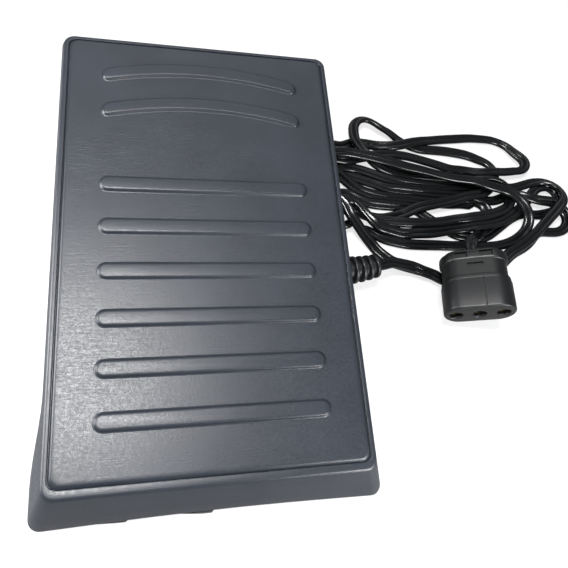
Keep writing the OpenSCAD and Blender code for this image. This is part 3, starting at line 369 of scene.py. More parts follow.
# The route in millimetres: out of the relief, over the next run and under the
# plug, then round the bundle's turns and at last into the plug's back
turn = math.radians(TIP_TURN)
route = [(TIP[0] + d * math.cos(turn), TIP[1] + d * math.sin(turn), TIP[2]) for d in (-4, 0, 2)]
route += from_tip([
    # To the right: out of the relief, over a later run and under the plug
    (4, 1, 10.6), (8, 2.5, 9.4), (12.5, 3, 8), (17, 3, 6.6), (22, 2.5, 5.2), (26, 1, 4.6),
    (30, -0.5, 4.2), (34, -3, 4.2), (40, -5.5, 4.2), (48, -6.5, 4.2), (56, -3.5, 4.2), (65, 3, 4.2),
    (74.5, 10.5, 4.2), (80, 13.5, 4.2), (87.5, 18, 4.2), (94.5, 23, 4.2), (104, 31, 5.4),
    # Turn at the right
    (112, 38, 6.8), (116, 44.5, 6.6), (115, 51, 5.2), (110.5, 55, 3.6), (105, 55.5, 2.4),
    (98.5, 54, 1.5),
    # To the left, along the middle
    (92.5, 52.5, 1.5), (84.5, 52.5, 1.5), (74.5, 52.5, 1.5), (64.5, 52, 1.5), (49.5, 51.5, 1.5),
    (37, 52.5, 1.5), (26, 54.5, 1.5), (16, 57.5, 1.5), (7.5, 60.5, 1.5), (1, 61.5, 1.5),
    # Turn at the pedal
    (-7, 60.5, 1.5), (-13.5, 62.5, 1.5), (-15.5, 68, 1.5), (-12.5, 73, 1.5), (-6, 75, 1.5),
    # To the right: the top strand and its corner
    (0, 74.5, 1.5), (5.5, 76.5, 1.5), (12.5, 77, 1.5), (19.5, 76, 2), (26, 75, 3.6), (32, 75.5, 4.3),
    (39, 77.5, 4.3), (46.5, 79.5, 3.4), (58, 83, 1.8), (67.5, 84.5, 1.5), (76, 85.5, 1.5),
    (83.5, 85.5, 1.5), (90, 85, 1.5), (95, 83, 2), (98.5, 79.5, 2.8), (100.5, 75.5, 3.6),
    (102.5, 72, 4.3), (103.5, 68.5, 4.8), (103, 65.5, 4.8), (100.5, 63, 4.4),
    # To the left, below the top strand
    (96, 62, 4.3), (90, 61, 4.3), (81.5, 59, 5.8), (75, 58.5, 6), (69.5, 59.5, 5), (63.5, 61, 4.3),
    (57.5, 61.5, 4.3), (51.5, 63.5, 4.3), (42.5, 66.5, 4.3), (33, 69, 4.3), (24, 69.5, 4.3),
    (15.5, 68.5, 4.3), (7.5, 66, 4.3), (0.5, 63.5, 4.3),
    # Turn at the pedal
    (-6, 64, 4.3), (-12, 61.5, 4.4), (-16.5, 55.5, 4.4), (-17, 48, 4.4), (-15, 41, 4),
    (-10.5, 36.5, 2.6), (-5, 35.5, 1.5),
    # To the right, below the middle
    (-1, 35.5, 1.5), (4, 33, 1.5), (9.5, 31.5, 1.5), (15.5, 31.5, 1.5), (21, 33, 1.5), (26, 34.5, 2),
    (32, 36.5, 3.6), (39, 38, 4.3), (46, 39.5, 4.3), (53.5, 41, 4.3), (61.5, 43, 4.3), (68, 44.5, 4.4),
    # Up and to the left: the second top strand, then round the small upper loop
    (73.5, 47.5, 4.4), (78.5, 52, 4), (82.5, 57.5, 3.2), (84, 63, 2.4), (82, 67.5, 1.6),
    (77.5, 70.5, 1.5), (72, 73, 1.5), (65, 74.5, 1.5), (56, 75.5, 1.5), (46, 76, 1.5), (40.5, 77, 1.5),
    (36, 79, 1.6), (32, 82, 2.2), (28, 84.5, 3.6), (23.5, 87, 4.4), (19.5, 90, 4.6), (15, 91.5, 4.7),
    (11, 90, 4.8), (8, 86, 4.8), (7, 81, 4.7), (7, 76.5, 4.6), (9, 71.5, 4.5), (12, 66, 4.2),
    (16, 61.5, 3.4), (22.5, 59, 2),
    # To the right, along the middle, and round above the plug
    (30.5, 57, 1.5), (39, 56.5, 1.5), (49.5, 56, 1.5), (59, 55, 1.8), (64, 53.5, 3), (69.5, 52.5, 4.3),
    (75.5, 52, 4.3), (81, 50.5, 4.3), (84.5, 47.5, 4.2), (85.5, 43.5, 4), (83.5, 38.5, 4),
    (78.5, 34.5, 4.3), (72.5, 31.5, 5),
    # To the left, in the lower strands
    (66, 29, 6.2), (60.5, 28, 6.9), (55.5, 27.5, 6.6), (50, 27.5, 5.4), (43.5, 26.5, 4.6),
    (35, 26, 4.4), (26.5, 26, 4.2), (20, 26.5, 3.2), (14.5, 27.5, 2), (9, 29, 1.5), (3.5, 32, 1.5),
    (-1, 35.5, 1.5),
    # Turn at the pedal
    (-5, 34.5, 1.5), (-12.5, 36.5, 1.5), (-16, 42.5, 1.5), (-14, 49.5, 1.5), (-8, 53, 1.5),
    # To the right, along the middle
    (-1, 55, 1.5), (6, 53.5, 1.5), (13, 51, 1.5), (20, 48, 1.5), (29, 47, 1.5), (41.5, 46.5, 1.5),
    (56.5, 45.5, 1.5), (63.5, 44.5, 1.5), (71.5, 43, 1.5), (78.5, 43, 1.5), (86.5, 46, 1.8),
    (92.5, 47, 2.6), (96.5, 45, 3.6), (104, 42.5, 4.3),
    # Turn at the right
    (110, 41.5, 4.3), (115, 37.5, 4.3), (116.5, 31.5, 3.8), (113, 26.5, 3), (107, 25, 2),
    # To the left, beneath the first run
    (97, 25, 1.4), (90, 20, 1.4), (82.5, 15, 1.4), (77, 12, 1.4), (67.5, 4.5, 1.4), (58, -2, 1.4),
    (50, -5, 1.4), (42, -4, 1.4), (36, -1.5, 1.4), (32, 1, 1.4),
    # Away from it, up beside the relief
    (14, 7, 1.4), (10.5, 9.5, 1.4), (7.5, 12.5, 1.5), (4.5, 16.5, 2.2), (1, 20.5, 3.9), (-2.5, 25, 5.9),
    (-5.5, 29.5, 7.2), (-7, 34, 7.5),
    # Turn at the pedal, on top
    (-10.5, 38, 7.4), (-15, 44.5, 7.3), (-16, 52.5, 7.3), (-14, 59.5, 7.3), (-9, 64, 7.3),
    # To the right over the others, and round the big loop
    (-4, 65.5, 7.4), (3, 65.5, 7.3), (12, 64, 7.2), (21, 62, 7.2), (29.5, 59.5, 7.2), (38.5, 57.5, 7.2),
    (47.5, 55, 7.2), (55.5, 53, 7.4), (62, 52, 7.8), (67.5, 50.5, 8.2), (73.5, 48, 8.2),
    (79.5, 46.5, 7.8), (85, 44.5, 7.2), (89, 40.5, 7), (91.5, 36, 6.8), (93, 31.5, 5.4),
    (92.5, 27.5, 3.8), (90.5, 24, 2.2), (85.5, 20.5, 1.5), (79.5, 18, 1.5), (72.5, 16.5, 1.5),
    (65.5, 16, 1.5), (59, 16, 1.5),
    # To the left, the lowest strand
    (53.5, 16.5, 1.5), (47.5, 16.5, 1.5), (40, 17, 1.5), (32, 17.5, 1.5), (23.5, 18.5, 1.5),
    (16.5, 20, 1.5), (10.5, 21.5, 1.5), (5.5, 24.5, 1.6), (0.5, 26, 3.4), (-3.5, 28, 4.3),
    # Turn at the pedal
    (-5, 26.5, 4.3), (-12, 27.5, 4.3), (-17, 34, 4.3), (-14.5, 42, 3.6), (-8, 45, 2),
    # To the right, sagging below the lower strands
    (-2, 45.5, 1.5), (3.5, 42.5, 1.5), (9.5, 40.5, 1.5), (16.5, 40, 1.5), (24.5, 39.5, 1.5),
    (31, 38, 1.5), (35.5, 34.5, 1.5), (40, 30.5, 1.5), (45, 26.5, 1.5), (50, 23, 1.5), (54.5, 22, 1.5),
    (59, 21.5, 1.5), (64, 22, 1.5), (69.5, 24.5, 1.5), (75.5, 28, 1.5), (82, 32, 1.5), (88.5, 35, 1.5),
    (94.5, 36, 1.5), (100, 35.5, 1.5),
    # Turn at the right
    (111, 37, 1.5), (115.5, 40.5, 1.5), (117, 45.5, 1.5), (116, 50.5, 1.5), (112, 52.5, 1.5),
    (107, 52, 1.5), (102.5, 48.5, 1.6),
    # To the left, in the lower strands
    (94, 40.5, 3), (87, 35.5, 4.3), (80.5, 32, 4.4), (73.5, 29, 4.6), (66.5, 26.5, 5.6), (60, 25, 6.2),
    (55, 24.5, 5.6), (49.5, 24.5, 4.6), (41.5, 23.5, 4.3), (34, 22, 4.2), (27.5, 22, 3), (21, 22, 1.8),
    (15, 24, 1.5), (9.5, 25.5, 1.5), (5, 29.5, 1.5), (1, 34.5, 1.6),
    # Turn at the pedal
    (-2.5, 37.5, 2.6), (-10.5, 37.5, 4.3), (-16, 41.5, 4.3), (-17.5, 47, 4.3), (-15, 52.5, 4),
    (-10, 54.5, 3),
    # To the right, along the middle, then back and up behind the plug
    (-4, 52, 1.9), (3, 47, 1.5), (9, 45, 1.5), (16, 43.5, 1.5), (24.5, 43, 1.5), (34.5, 42.5, 1.5),
    (44.5, 41.5, 1.5), (53, 41, 1.5), (59, 41, 1.5), (65, 41, 1.5), (63, 43, 1.6), (68, 42, 1.9),
    (71.5, 38.5, 2.4), (72, 34, 3), (70, 29.5, 3.8), (66, 26, 4.6), (61.5, 22, 6.2), (57, 18.5, 8.6),
    (53.5, 15.5, 11.2), (49.5, 12.5, 13.7), (46.5, 9.5, 15.5),
])
back, backwards = ON_PLUG @ Vector((0, PLUG_L, 0)), ON_PLUG.to_3x3() @ Vector((0, 1, 0))
route += [tuple(back + backwards * d) for d in (4, 0, -4)]


def spline(points, step):
    """Points a step apart on a smooth curve through the given ones."""
    p = np.array(points, float)
    t = np.concatenate([[0], np.cumsum(np.sqrt(np.linalg.norm(np.diff(p, axis=0), axis=1)))])
    n, h = len(p), np.diff(t)
    a = np.eye(n)
    r = np.zeros((n, 3))
    for i in range(1, n - 1):
        a[i, i - 1:i + 2] = h[i - 1], 2 * (h[i - 1] + h[i]), h[i]
        r[i] = 3 * ((p[i + 1] - p[i]) / h[i] - (p[i] - p[i - 1]) / h[i - 1])
    c = np.linalg.solve(a, r)
    fine = []
    for i in range(n - 1):
        b = (p[i + 1] - p[i]) / h[i] - h[i] * (2 * c[i] + c[i + 1]) / 3
        d = (c[i + 1] - c[i]) / (3 * h[i])
        s = np.linspace(0, h[i], 24, endpoint=False)[:, None]
        fine.append(p[i] + b * s + c[i] * s ** 2 + d * s ** 3)
    return evenly(np.vstack(fine + [p[-1:]]), step)


def evenly(line, step):
    """The line again, with points about a step apart."""
    along = np.concatenate([[0], np.cumsum(np.linalg.norm(np.diff(line, axis=0), axis=1))])
    at = np.linspace(0, along[-1], int(round(along[-1] / step)) + 1)
    return np.stack([np.interp(at, along, line[:, k]) for k in range(3)], axis=1)


def blurred(values, reach):
    """Values smoothed along the line by a bell of that many points each way."""
    k = np.exp(-0.5 * (np.arange(-2 * reach, 2 * reach + 1) / reach) ** 2)
    k /= k.sum()
    wide = np.concatenate([np.repeat(values[:1], 2 * reach, 0), values,
                           np.repeat(values[-1:], 2 * reach, 0)])
    if values.ndim == 1:
        return np.convolve(wide, k, "valid")
    return np.stack([np.convolve(wide[:, j], k, "valid") for j in range(values.shape[1])], 1)


def sides_of(line):
    """Level unit vectors across the line."""
    d = np.gradient(line, axis=0)
    s = np.stack([-d[:, 1], d[:, 0], np.zeros(len(d))], 1)
    return s / np.maximum(np.linalg.norm(s, axis=1, keepdims=True), 1e-9)


STEP, FINE_STEP = 2.5, 1.25
CORE_OFF = (LEAD_W - LEAD_T) / 2
# The lead lies flat in bends wider than one radius and on edge in those of the
# other; elsewhere it rocks a little along its length
FLAT_BEND, EDGE_BEND, EDGE_LEAN, MOST_BACK = 16.0, 7.5, 84.0, 15.0


def leaning(line):
    """How far the flat lead stands on edge at each point, in radians."""
    d = np.gradient(line[:, :2], axis=0)
    dd = np.gradient(d, axis=0)
    bend = np.abs(d[:, 0] * dd[:, 1] - d[:, 1] * dd[:, 0]) / np.maximum(
        np.linalg.norm(d, axis=1) ** 3, 1e-9)
    share = np.clip((blurred(bend, 2) - 1 / FLAT_BEND) / (1 / EDGE_BEND - 1 / FLAT_BEND), 0, 1)
    at = np.arange(len(line)) * STEP
    wave = 9 * np.sin(at / 23.0) + 6 * np.sin(at / 9.7)
    ends = np.clip((np.minimum(at, at[-1] - at) - 14) / 12, 0, 1)
    lean = blurred(share * EDGE_LEAN, 3) + wave * (1 - share)
    return np.radians(np.clip(lean, -MOST_BACK, EDGE_LEAN) * ends)


def resting(lean):
    """Height of the lead's middle where it lies on the floor with that lean."""
    return LEAD_T / 2 + 0.03 + CORE_OFF * np.abs(np.sin(lean))


# What one round of settling does: runs are kept this far apart, pushed by this
# much of their overlap, drawn back to the chosen route and let down
APART, PUSH, PULL, SINK = LEAD_T + 0.05, 1.6, 0.012, 0.012
ROUNDS, QUICK_ROUNDS, LOOK_AGAIN, LOOK_FAR, SAME_RUN = 160, 40, 8, 3.5, 7


def settled(line, rounds):
    """Pushes runs that lie in each other apart, which leaves some overlaps, and keeps the floor."""
    goal, n = line.copy(), len(line)
    # Its ends stay in the relief and in the plug
    held = np.zeros(n, bool)
    held[:6] = held[-8:] = True
    index = np.concatenate([np.arange(n), np.arange(n)])
    for k in range(rounds):
        lean = leaning(line)
        up = np.array([0, 0, 1.0])
        s = sides_of(line) * np.cos(lean)[:, None] + up * np.sin(lean)[:, None]
        cores = np.concatenate([line - s * CORE_OFF, line + s * CORE_OFF])
        if k % LOOK_AGAIN == 0:
            gap = cores[:, None].astype(np.float32) - cores[None].astype(np.float32)
            near = (gap ** 2).sum(2) < (LEAD_T + LOOK_FAR) ** 2
            near &= np.abs(index[:, None] - index[None]) > SAME_RUN
            a, b = np.nonzero(np.triu(near))
        d = cores[a] - cores[b]
        far = np.linalg.norm(d, axis=1)
        hit = far < APART
        push = np.zeros((n, 3))
        count = np.zeros(n)
        step = d[hit] / np.maximum(far[hit], 1e-6)[:, None] * (APART - far[hit])[:, None] * 0.5
        np.add.at(push, index[a[hit]], step)
        np.add.at(push, index[b[hit]], -step)
        np.add.at(count, index[a[hit]], 1)
        np.add.at(count, index[b[hit]], 1)
        move = blurred(push / np.maximum(count, 1)[:, None], 1) * PUSH
        pull = (goal - line) * PULL
        pull[:, 2] -= SINK
        move += pull
        move[held] = 0
        line = line + move
        smooth = blurred(line - goal, 2) + goal
        line = np.where(held[:, None], line, line * 0.75 + smooth * 0.25)
        line[:, 2] = np.where(held, line[:, 2], np.maximum(line[:, 2], resting(lean)))
    return line


coarse = settled(spline(route, STEP), ROUNDS)
lead_line = spline(coarse, FINE_STEP)
lead_lean = np.interp(np.linspace(0, 1, len(lead_line)), np.linspace(0, 1, len(coarse)),
                      blurred(leaning(coarse), 2))
lead_line[:, 2] = np.maximum(lead_line[:, 2], resting(lead_lean))
lead_axis = poly_curve("lead_line", lead_line, lead_lean)

# Two round cores side by side in one skin, with the groove between them
tree, keys, given = tree_with("flat_lead", [("Width", "Float"), ("Thickness", "Float"),
                                            ("Waist", "Float"), ("Material", "Material")])
circle = add(tree, "GeometryNodeCurvePrimitiveCircle", {"Resolution": 24, "Radius": 1.0})


def position():
    """A node that splits the position of each point of the current tree."""
    where = tree.nodes.new("GeometryNodeInputPosition").outputs[0]
    return add(tree, "ShaderNodeSeparateXYZ", {"Vector": where})


def calc(kind, a, b=0.0):
    """A math node in the current tree."""
    return worked(tree, kind, a, b)


here = position()
out = calc("ABSOLUTE", here.outputs["X"])
off_core = calc("SUBTRACT", calc("MULTIPLY", out, 2.0), 1.0)
dome = calc("SQRT", calc("MAXIMUM", calc("SUBTRACT", 1.0, calc("MULTIPLY", off_core, off_core)), 0.0))
inner = calc("LESS_THAN", out, 0.5)
tall = calc("MAXIMUM", dome, calc("MULTIPLY", inner, given.outputs["Waist"]))
y = calc("MULTIPLY", calc("MULTIPLY", calc("SIGN", here.outputs["Y"]), tall),
         calc("MULTIPLY", given.outputs["Thickness"], 0.5))
x = calc("MULTIPLY", here.outputs["X"], calc("MULTIPLY", given.outputs["Width"], 0.5))
outline = add(tree, "GeometryNodeSetPosition", {
    "Geometry": circle.outputs["Curve"],
    "Position": add(tree, "ShaderNodeCombineXYZ", {"X": x, "Y": y}).outputs["Vector"]})
level = add(tree, "GeometryNodeSetCurveNormal", {"Curve": given.outputs["Geometry"]}, mode="Z_UP")
swept = add(tree, "GeometryNodeCurveToMesh", {
    "Curve": level.outputs["Curve"], "Profile Curve": outline.outputs["Geometry"], "Fill Caps": True})
closing(tree, swept.outputs["Mesh"], given)
lead = grown(lead_axis, tree, keys, {"Width": LEAD_W * MM, "Thickness": LEAD_T * MM, "Waist": 0.42,
                                     "Material": lead_pvc}, "lead", 80.0)


# ---------------------------------------------------------------- strain relief

# A ring with a rounded edge, repeated along the relief's slightly bent axis
RING_HALF, RING_FOOT, RING_EDGE, RING_AT, CORE_R, CORE_TAPER = 0.75, 1.05, 0.4, 0.74, 4.2, 0.12

axis = [(RIDGE_X0, EXIT_Y, TIP[2])]
for k in range(1, RIDGES + 1):
    a = math.radians((k - 0.5) * RIDGE_BEND)
    x, y, z = axis[-1]
    axis.append((x + RIDGE_PITCH * math.cos(a), y + RIDGE_PITCH * math.sin(a), z))
centres = [np.array(p) * (1 - RING_AT) + np.array(q) * RING_AT for p, q in zip(axis, axis[1:])]
relief_axis = poly_curve("relief_axis", centres)

edge = [(RING_EDGE * math.sin(math.radians(a)), RING_EDGE * (1 - math.cos(math.radians(a))))
        for a in (90, 60, 30, 0)]
ring_profile = [(-RING_FOOT, 0.3 * RIDGE_R)]
ring_profile += [(-RING_HALF + RING_EDGE - s, RIDGE_R - c) for s, c in edge]
ring_profile += [(RING_HALF - RING_EDGE + s, RIDGE_R - c) for s, c in edge[::-1]]
ring_profile += [(RING_FOOT, 0.3 * RIDGE_R)]
ring = mesh_object("relief_ring", *loft([[(x, r * u, r * v) for u, v in around(40)]
                                         for x, r in ring_profile]))

tree, keys, given = tree_with("relief_ridges", [("Axis", "Object"), ("First Radius", "Float"),
                                                ("Last Radius", "Float"), ("Material", "Material")])
line_in = add(tree, "GeometryNodeObjectInfo", {"Object": given.outputs["Axis"]})
dots = add(tree, "GeometryNodeCurveToPoints", {"Curve": line_in.outputs["Geometry"]}, mode="EVALUATED")
share = calc("DIVIDE", tree.nodes.new("GeometryNodeInputIndex").outputs[0], RIDGES - 1.0)
last_share = calc("DIVIDE", given.outputs["Last Radius"], given.outputs["First Radius"])
shrink = calc("ADD", 1.0, calc("MULTIPLY", share, calc("SUBTRACT", last_share, 1.0)))
size = add(tree, "ShaderNodeCombineXYZ", {"X": 1.0, "Y": shrink, "Z": shrink})
facing = add(tree, "FunctionNodeAlignRotationToVector", {"Vector": dots.outputs["Tangent"]}, axis="X")
rings = add(tree, "GeometryNodeInstanceOnPoints", {
    "Points": dots.outputs["Points"], "Instance": given.outputs["Geometry"],
    "Rotation": facing.outputs["Rotation"], "Scale": size.outputs["Vector"]})
closing(tree, rings.outputs["Instances"], given)
relief_rings = grown(ring, tree, keys, {"Axis": relief_axis, "First Radius": RIDGE_R,
                                        "Last Radius": RIDGE_END_R, "Material": relief_pvc},
                     "relief_rings")
bpy.data.objects.remove(relief_axis)

loops = []
for x, r in ((WALL_X - 2, NECK_R + 1), (WALL_X - 0.02, NECK_R + 1), (WALL_X, NECK_R),
             (RIDGE_X0 - 2.02, NECK_R), (RIDGE_X0 - 2, RIDGE_R - 0.4), (RIDGE_X0 - 1.6, RIDGE_R),
             (RIDGE_X0 - 0.4, RIDGE_R), (RIDGE_X0, RIDGE_R - 0.4), (RIDGE_X0 + 0.1, CORE_R)):
    loops.append([(x, EXIT_Y + r * u, TIP[2] + r * v) for u, v in around(40)])
for i, (p, q) in enumerate(zip(axis, axis[1:])):
    a = math.radians((i + 0.5) * RIDGE_BEND)
    r = CORE_R - CORE_TAPER * i
    for f in (0.3, 1.0):
        c = np.array(p) * (1 - f) + np.array(q) * f
        loops.append([(c[0] - r * u * math.sin(a), c[1] + r * u * math.cos(a), c[2] + r * v)
                      for u, v in around(40)])
core = mesh_object("relief_core", *loft(loops))
core.data.materials.append(relief_pvc)
relief = joined([core, relief_rings], "strain_relief_body")
relief.data.materials.append(relief_pvc)


# ---------------------------------------------------------------- treadle

SIDE = math.tan(math.radians(FLARE))
HEEL = math.tan(math.radians(HEEL_FLARE + SLOPE))
TOE = math.tan(math.radians(FLARE - SLOPE))
ALONG = (0, 0.008, 0.02, 0.035, 0.05, 0.07, 0.09, 0.11, 0.13, 0.15, 0.17, 0.19, 0.25, 0.4, 0.6, 0.8)


def skirt_depth(x, y):
    """Depth of the skirt's lower edge, which arches up a little along the heel."""
    if y <= HEEL_RUN:
        corner = DECK_W / 2 - 2
        return HEEL_D + HEEL_DROP * min(1.0, (x / corner) ** 2)
    if y >= LIP_RUN:
        return LIP_D
    swing = (1 + math.cos(math.pi * (y - HEEL_RUN) / (LIP_RUN - HEEL_RUN))) / 2
    return LIP_D + (HEEL_D + HEEL_DROP - LIP_D) * swing


def deck_point(i, d, inset, heel=None):
    """Point i of the deck's outline at a depth d below the rim, inset all round."""
    grow = SIDE * d - inset
    heel = inset if heel is None else heel
    x1, y0, y1 = DECK_W / 2 + grow, heel - HEEL * d, DECK_L - inset + TOE * d
    r = max(RIM_R - inset, PANEL_R)
    corners = ((1, 0, y0 + r), (1, 90, y1 - r), (-1, 180, y1 - r), (-1, 270, y0 + r))
    n = len(ALONG)
    runs = (9, n - 1, 9, 6, 9, n - 1, 9, 6)
    for part, count in enumerate(runs):
        if i < count:
            break
        i -= count
    if part % 2 == 0:
        s, a0, cy = corners[part // 2]
        a = math.radians(a0 - 90 + 90 * i / 8)
        return s * (x1 - r) + r * math.cos(a), cy + r * math.sin(a), -d
    if part in (1, 5):
        f = ALONG[i + 1] if part == 1 else ALONG[n - 1 - i]
        return (1 if part == 1 else -1) * x1, y0 + r + f * (y1 - y0 - 2 * r), -d
    f = (i + 1) / 7
    return (1 if part == 3 else -1) * (x1 - r) * (1 - 2 * f), (y1 if part == 3 else y0), -d


DECK_COUNT = 4 * 9 + 2 * (len(ALONG) - 1) + 2 * 6


def deck_loop(d, inset, heel=None):
    """The deck's outline at a depth d, inset all round, and at the heel by its own amount."""
    return [deck_point(i, d, inset, heel) for i in range(DECK_COUNT)]


def edge_depths(inset):
    """Depth of the skirt's lower edge at each point of the outline."""
    depths = []
    for i in range(DECK_COUNT):
        d = HEEL_D
        for _ in range(12):
            d = 0.5 * d + 0.5 * skirt_depth(*deck_point(i, d, inset)[:2])
        depths.append(d)
    return depths


low_edge = edge_depths(0.0)


def skirt_loop(share, inset, lift=0.0):
    """A loop between the rim's edge at share 0 and the skirt's lower edge at share 1."""
    return [deck_point(i, EDGE_R + (d - EDGE_R) * share - lift, inset) for i, d in enumerate(low_edge)]


loops = [skirt_loop(0.0, 1.6, -0.8), skirt_loop(0.5, 1.6), skirt_loop(1.0, 1.6, 0.1), skirt_loop(1.0, 1.5),
         skirt_loop(1.0, 0.5), skirt_loop(1.0, 0.25, 0.06), skirt_loop(1.0, 0.08, 0.22),
         skirt_loop(1.0, 0.0, 0.5), skirt_loop(0.66, 0.0), skirt_loop(0.33, 0.0)]
for a in (0, 18, 36, 54, 72, 90):
    down, inwards = 1 - math.sin(math.radians(a)), 1 - math.cos(math.radians(a))
    loops.append(deck_loop(EDGE_R * down, EDGE_R * inwards))
groove = ((-0.3, 0.0), (-0.12, 0.04), (0.02, 0.2), (0.1, 0.45), (0.2, GROOVE_D), (0.36, GROOVE_D),
          (0.48, 0.4), (0.56, 0.05), (0.68, -0.24), (0.88, -0.42), (1.25, -PANEL_H), (2.2, -PANEL_H))
loops += [deck_loop(d, RIM_W + i, HEEL_RIM_W + i) for i, d in groove]
shell = placed("deck_skin", loops, DECK)
shell.data.materials.append(treadle_abs)

# What lies under the deck, with the hinge ears and spring seats, is kept from CAD
keep = placed("keep", [deck_loop(1.0, 1.0), deck_loop(45.0, 1.0)], DECK)
under = linked("deck_under", welded(nodes["treadle"].data.copy(), 35.0))
under = boolean(under, keep, "INTERSECT")
treadle = joined([shell, under], "treadle_shell")
treadle.data.materials.append(treadle_abs)

# One straight rib with a rounded top edge and a fillet at its foot, which the
# tree repeats six times in a row and twice more as an arch
rib_loops = []
for inset, h in ((-0.75, -0.4), (-0.75, -0.02), (-0.45, 0.03), (-0.2, 0.14), (-0.02, 0.36),
                 (0.12, 0.62), (0.34, 0.83), (0.65, 0.95), (1.1, 1.0)):
    r, half = RIB_W / 2 - inset, RIB_L / 2 - RIB_W / 2
    loop = [(half + r * math.cos(math.radians(a)), r * math.sin(math.radians(a)), h * RIB_H)
            for a in range(-90, 91, 10)]
    loop += [(half * (1 - 2 * k / 20), r, h * RIB_H) for k in range(1, 20)]
    loop += [(-half + r * math.cos(math.radians(a)), r * math.sin(math.radians(a)), h * RIB_H)
             for a in range(90, 271, 10)]
    loop += [(-half * (1 - 2 * k / 20), -r, h * RIB_H) for k in range(1, 20)]
    rib_loops.append(loop)
rib = mesh_object("rib", *loft(rib_loops))

tree, keys, given = tree_with("tread_ribs", [
    ("Straight Ribs", "Int"), ("Pitch", "Float"), ("First", "Float"), ("Arched From", "Float"),
    ("Arched Pitch", "Float"), ("Rise", "Float"), ("Length", "Float"), ("Height", "Float"),
    ("Material", "Material")])


def row_of(count, first, pitch):
    """The rib repeated along the deck from a first place."""
    start_at = add(tree, "ShaderNodeCombineXYZ", {"Y": first, "Z": given.outputs["Height"]})
    step_by = add(tree, "ShaderNodeCombineXYZ", {"Y": pitch})
    dots = add(tree, "GeometryNodeMeshLine", {
        "Count": count, "Start Location": start_at.outputs["Vector"], "Offset": step_by.outputs["Vector"]})
    put = add(tree, "GeometryNodeInstanceOnPoints", {
        "Points": dots.outputs["Mesh"], "Instance": given.outputs["Geometry"]})
    real = add(tree, "GeometryNodeRealizeInstances", {"Geometry": put.outputs["Instances"]})
    return real.outputs["Geometry"]


straight = row_of(given.outputs["Straight Ribs"], given.outputs["First"], given.outputs["Pitch"])
arched = row_of(2, given.outputs["Arched From"], given.outputs["Arched Pitch"])
here = position()
part = calc("DIVIDE", calc("MULTIPLY", here.outputs["X"], 2.0), given.outputs["Length"])
bow = calc("MULTIPLY", calc("SUBTRACT", 0.667, calc("MULTIPLY", part, part)), given.outputs["Rise"])
arched = add(tree, "GeometryNodeSetPosition", {
    "Geometry": arched,
    "Offset": add(tree, "ShaderNodeCombineXYZ", {"Y": bow}).outputs["Vector"]}).outputs["Geometry"]
both = tree.nodes.new("GeometryNodeJoinGeometry")
tree.links.new(straight, both.inputs[0])
tree.links.new(arched, both.inputs[0])
sloped = add(tree, "GeometryNodeTransform", {
    "Geometry": both.outputs["Geometry"], "Translation": (0, DECK_Y0 * MM, HEEL_H * MM),
    "Rotation": (math.radians(SLOPE), 0, 0)})
closing(tree, sloped.outputs["Geometry"], given)
ribs = grown(rib, tree, keys, {
    "Straight Ribs": 6, "Pitch": RIB_PITCH * MM, "First": RIB_START * MM,
    "Arched From": (RIB_START + 7 * RIB_PITCH) * MM, "Arched Pitch": CURVED_PITCH * MM,
    "Rise": RIB_RISE * MM, "Length": (RIB_L - RIB_W) * MM, "Height": PANEL_H * MM,
    "Material": treadle_abs}, "tread_ribs")


# ---------------------------------------------------------------- plug

def stadium(w, h, y, bow=0.0, count=18):
    """Outline with round sides, w wide and h high, at a depth y that is bowed backwards."""
    r, loop = h / 2, []
    for s, a0 in ((1, -90), (-1, 90)):
        for k in range(count + 1):
            a = math.radians(a0 + 180 * k / count)
            loop.append((s * (w / 2 - r) + r * math.cos(a), y, r * math.sin(a)))
        for k in range(1, 12):
            loop.append((s * (w / 2 - r) * (1 - 2 * k / 12), y, s * r))
    return [(x, yy + bow * (1 - (2 * x / w) ** 2), z) for x, yy, z in loop]


def rounded(y0, y1, w, h, e0, e1, bow0=0.0, bow1=0.0, w1=None, h1=None):
    """Loops of a slab between two depths, with its end edges rounded by e0 and e1."""
    w1, h1 = w1 or w, h1 or h
    loops = []
    for a in (90, 67, 45, 22, 0):
        c, s = e0 * (1 - math.cos(math.radians(a))), e0 * (1 - math.sin(math.radians(a)))
        loops.append(stadium(w - 2 * c, h - 2 * c, y0 + e0 * (1 - math.cos(math.radians(90 - a))), bow0))
    loops.append(stadium((w + w1) / 2, (h + h1) / 2, (y0 + y1) / 2, (bow0 + bow1) / 2))
    for a in (0, 22, 45, 67, 90):
        c = e1 * (1 - math.cos(math.radians(a)))
        loops.append(stadium(w1 - 2 * c, h1 - 2 * c, y1 - e1 * (1 - math.sin(math.radians(a))), bow1))
    return loops


def box_at(name, x0, x1, y0, y1, z0, z1):
    """A cutter with tapered walls."""
    t = 0.25
    return placed(name, [
        [(x0 + t, y0 + t, z0), (x1 - t, y0 + t, z0), (x1 - t, y1 - t, z0), (x0 + t, y1 - t, z0)],
        [(x0, y0, z1), (x1, y0, z1), (x1, y1, z1), (x0, y1, z1)]], ON_PLUG)


def hole_cutter(x):
    """A cutter for a pin's hole with a rounded mouth."""
    profile = ((-1.0, PIN_R + 0.55), (0.0, PIN_R + 0.4), (0.35, PIN_R + 0.08), (0.7, PIN_R), (11.0, PIN_R))
    return placed("hole", [[(x + r * u, y, r * v) for u, v in around(32)] for y, r in profile], ON_PLUG)


TOP = PLUG_H / 2
plug_front = placed("plug_front_body", rounded(0, FACE_L, PLUG_W, PLUG_H, 1.0, 0.35, 0.0, 1.2), ON_PLUG)
for x in (-PIN_PITCH, 0, PIN_PITCH):
    plug_front = boolean(plug_front, hole_cutter(x), "DIFFERENCE")
cut = box_at("seam", 2.3, 3.1, -1, FACE_L + 2, TOP - 0.4, TOP + 2)
plug_front = boolean(plug_front, cut, "DIFFERENCE")
plug_front = joined([plug_front], "plug_front_body")
# The front gets the plug's PVC painted a little lighter, a painted highlight
plug_front.data.materials.append(plug_pvc_painted_lighter)

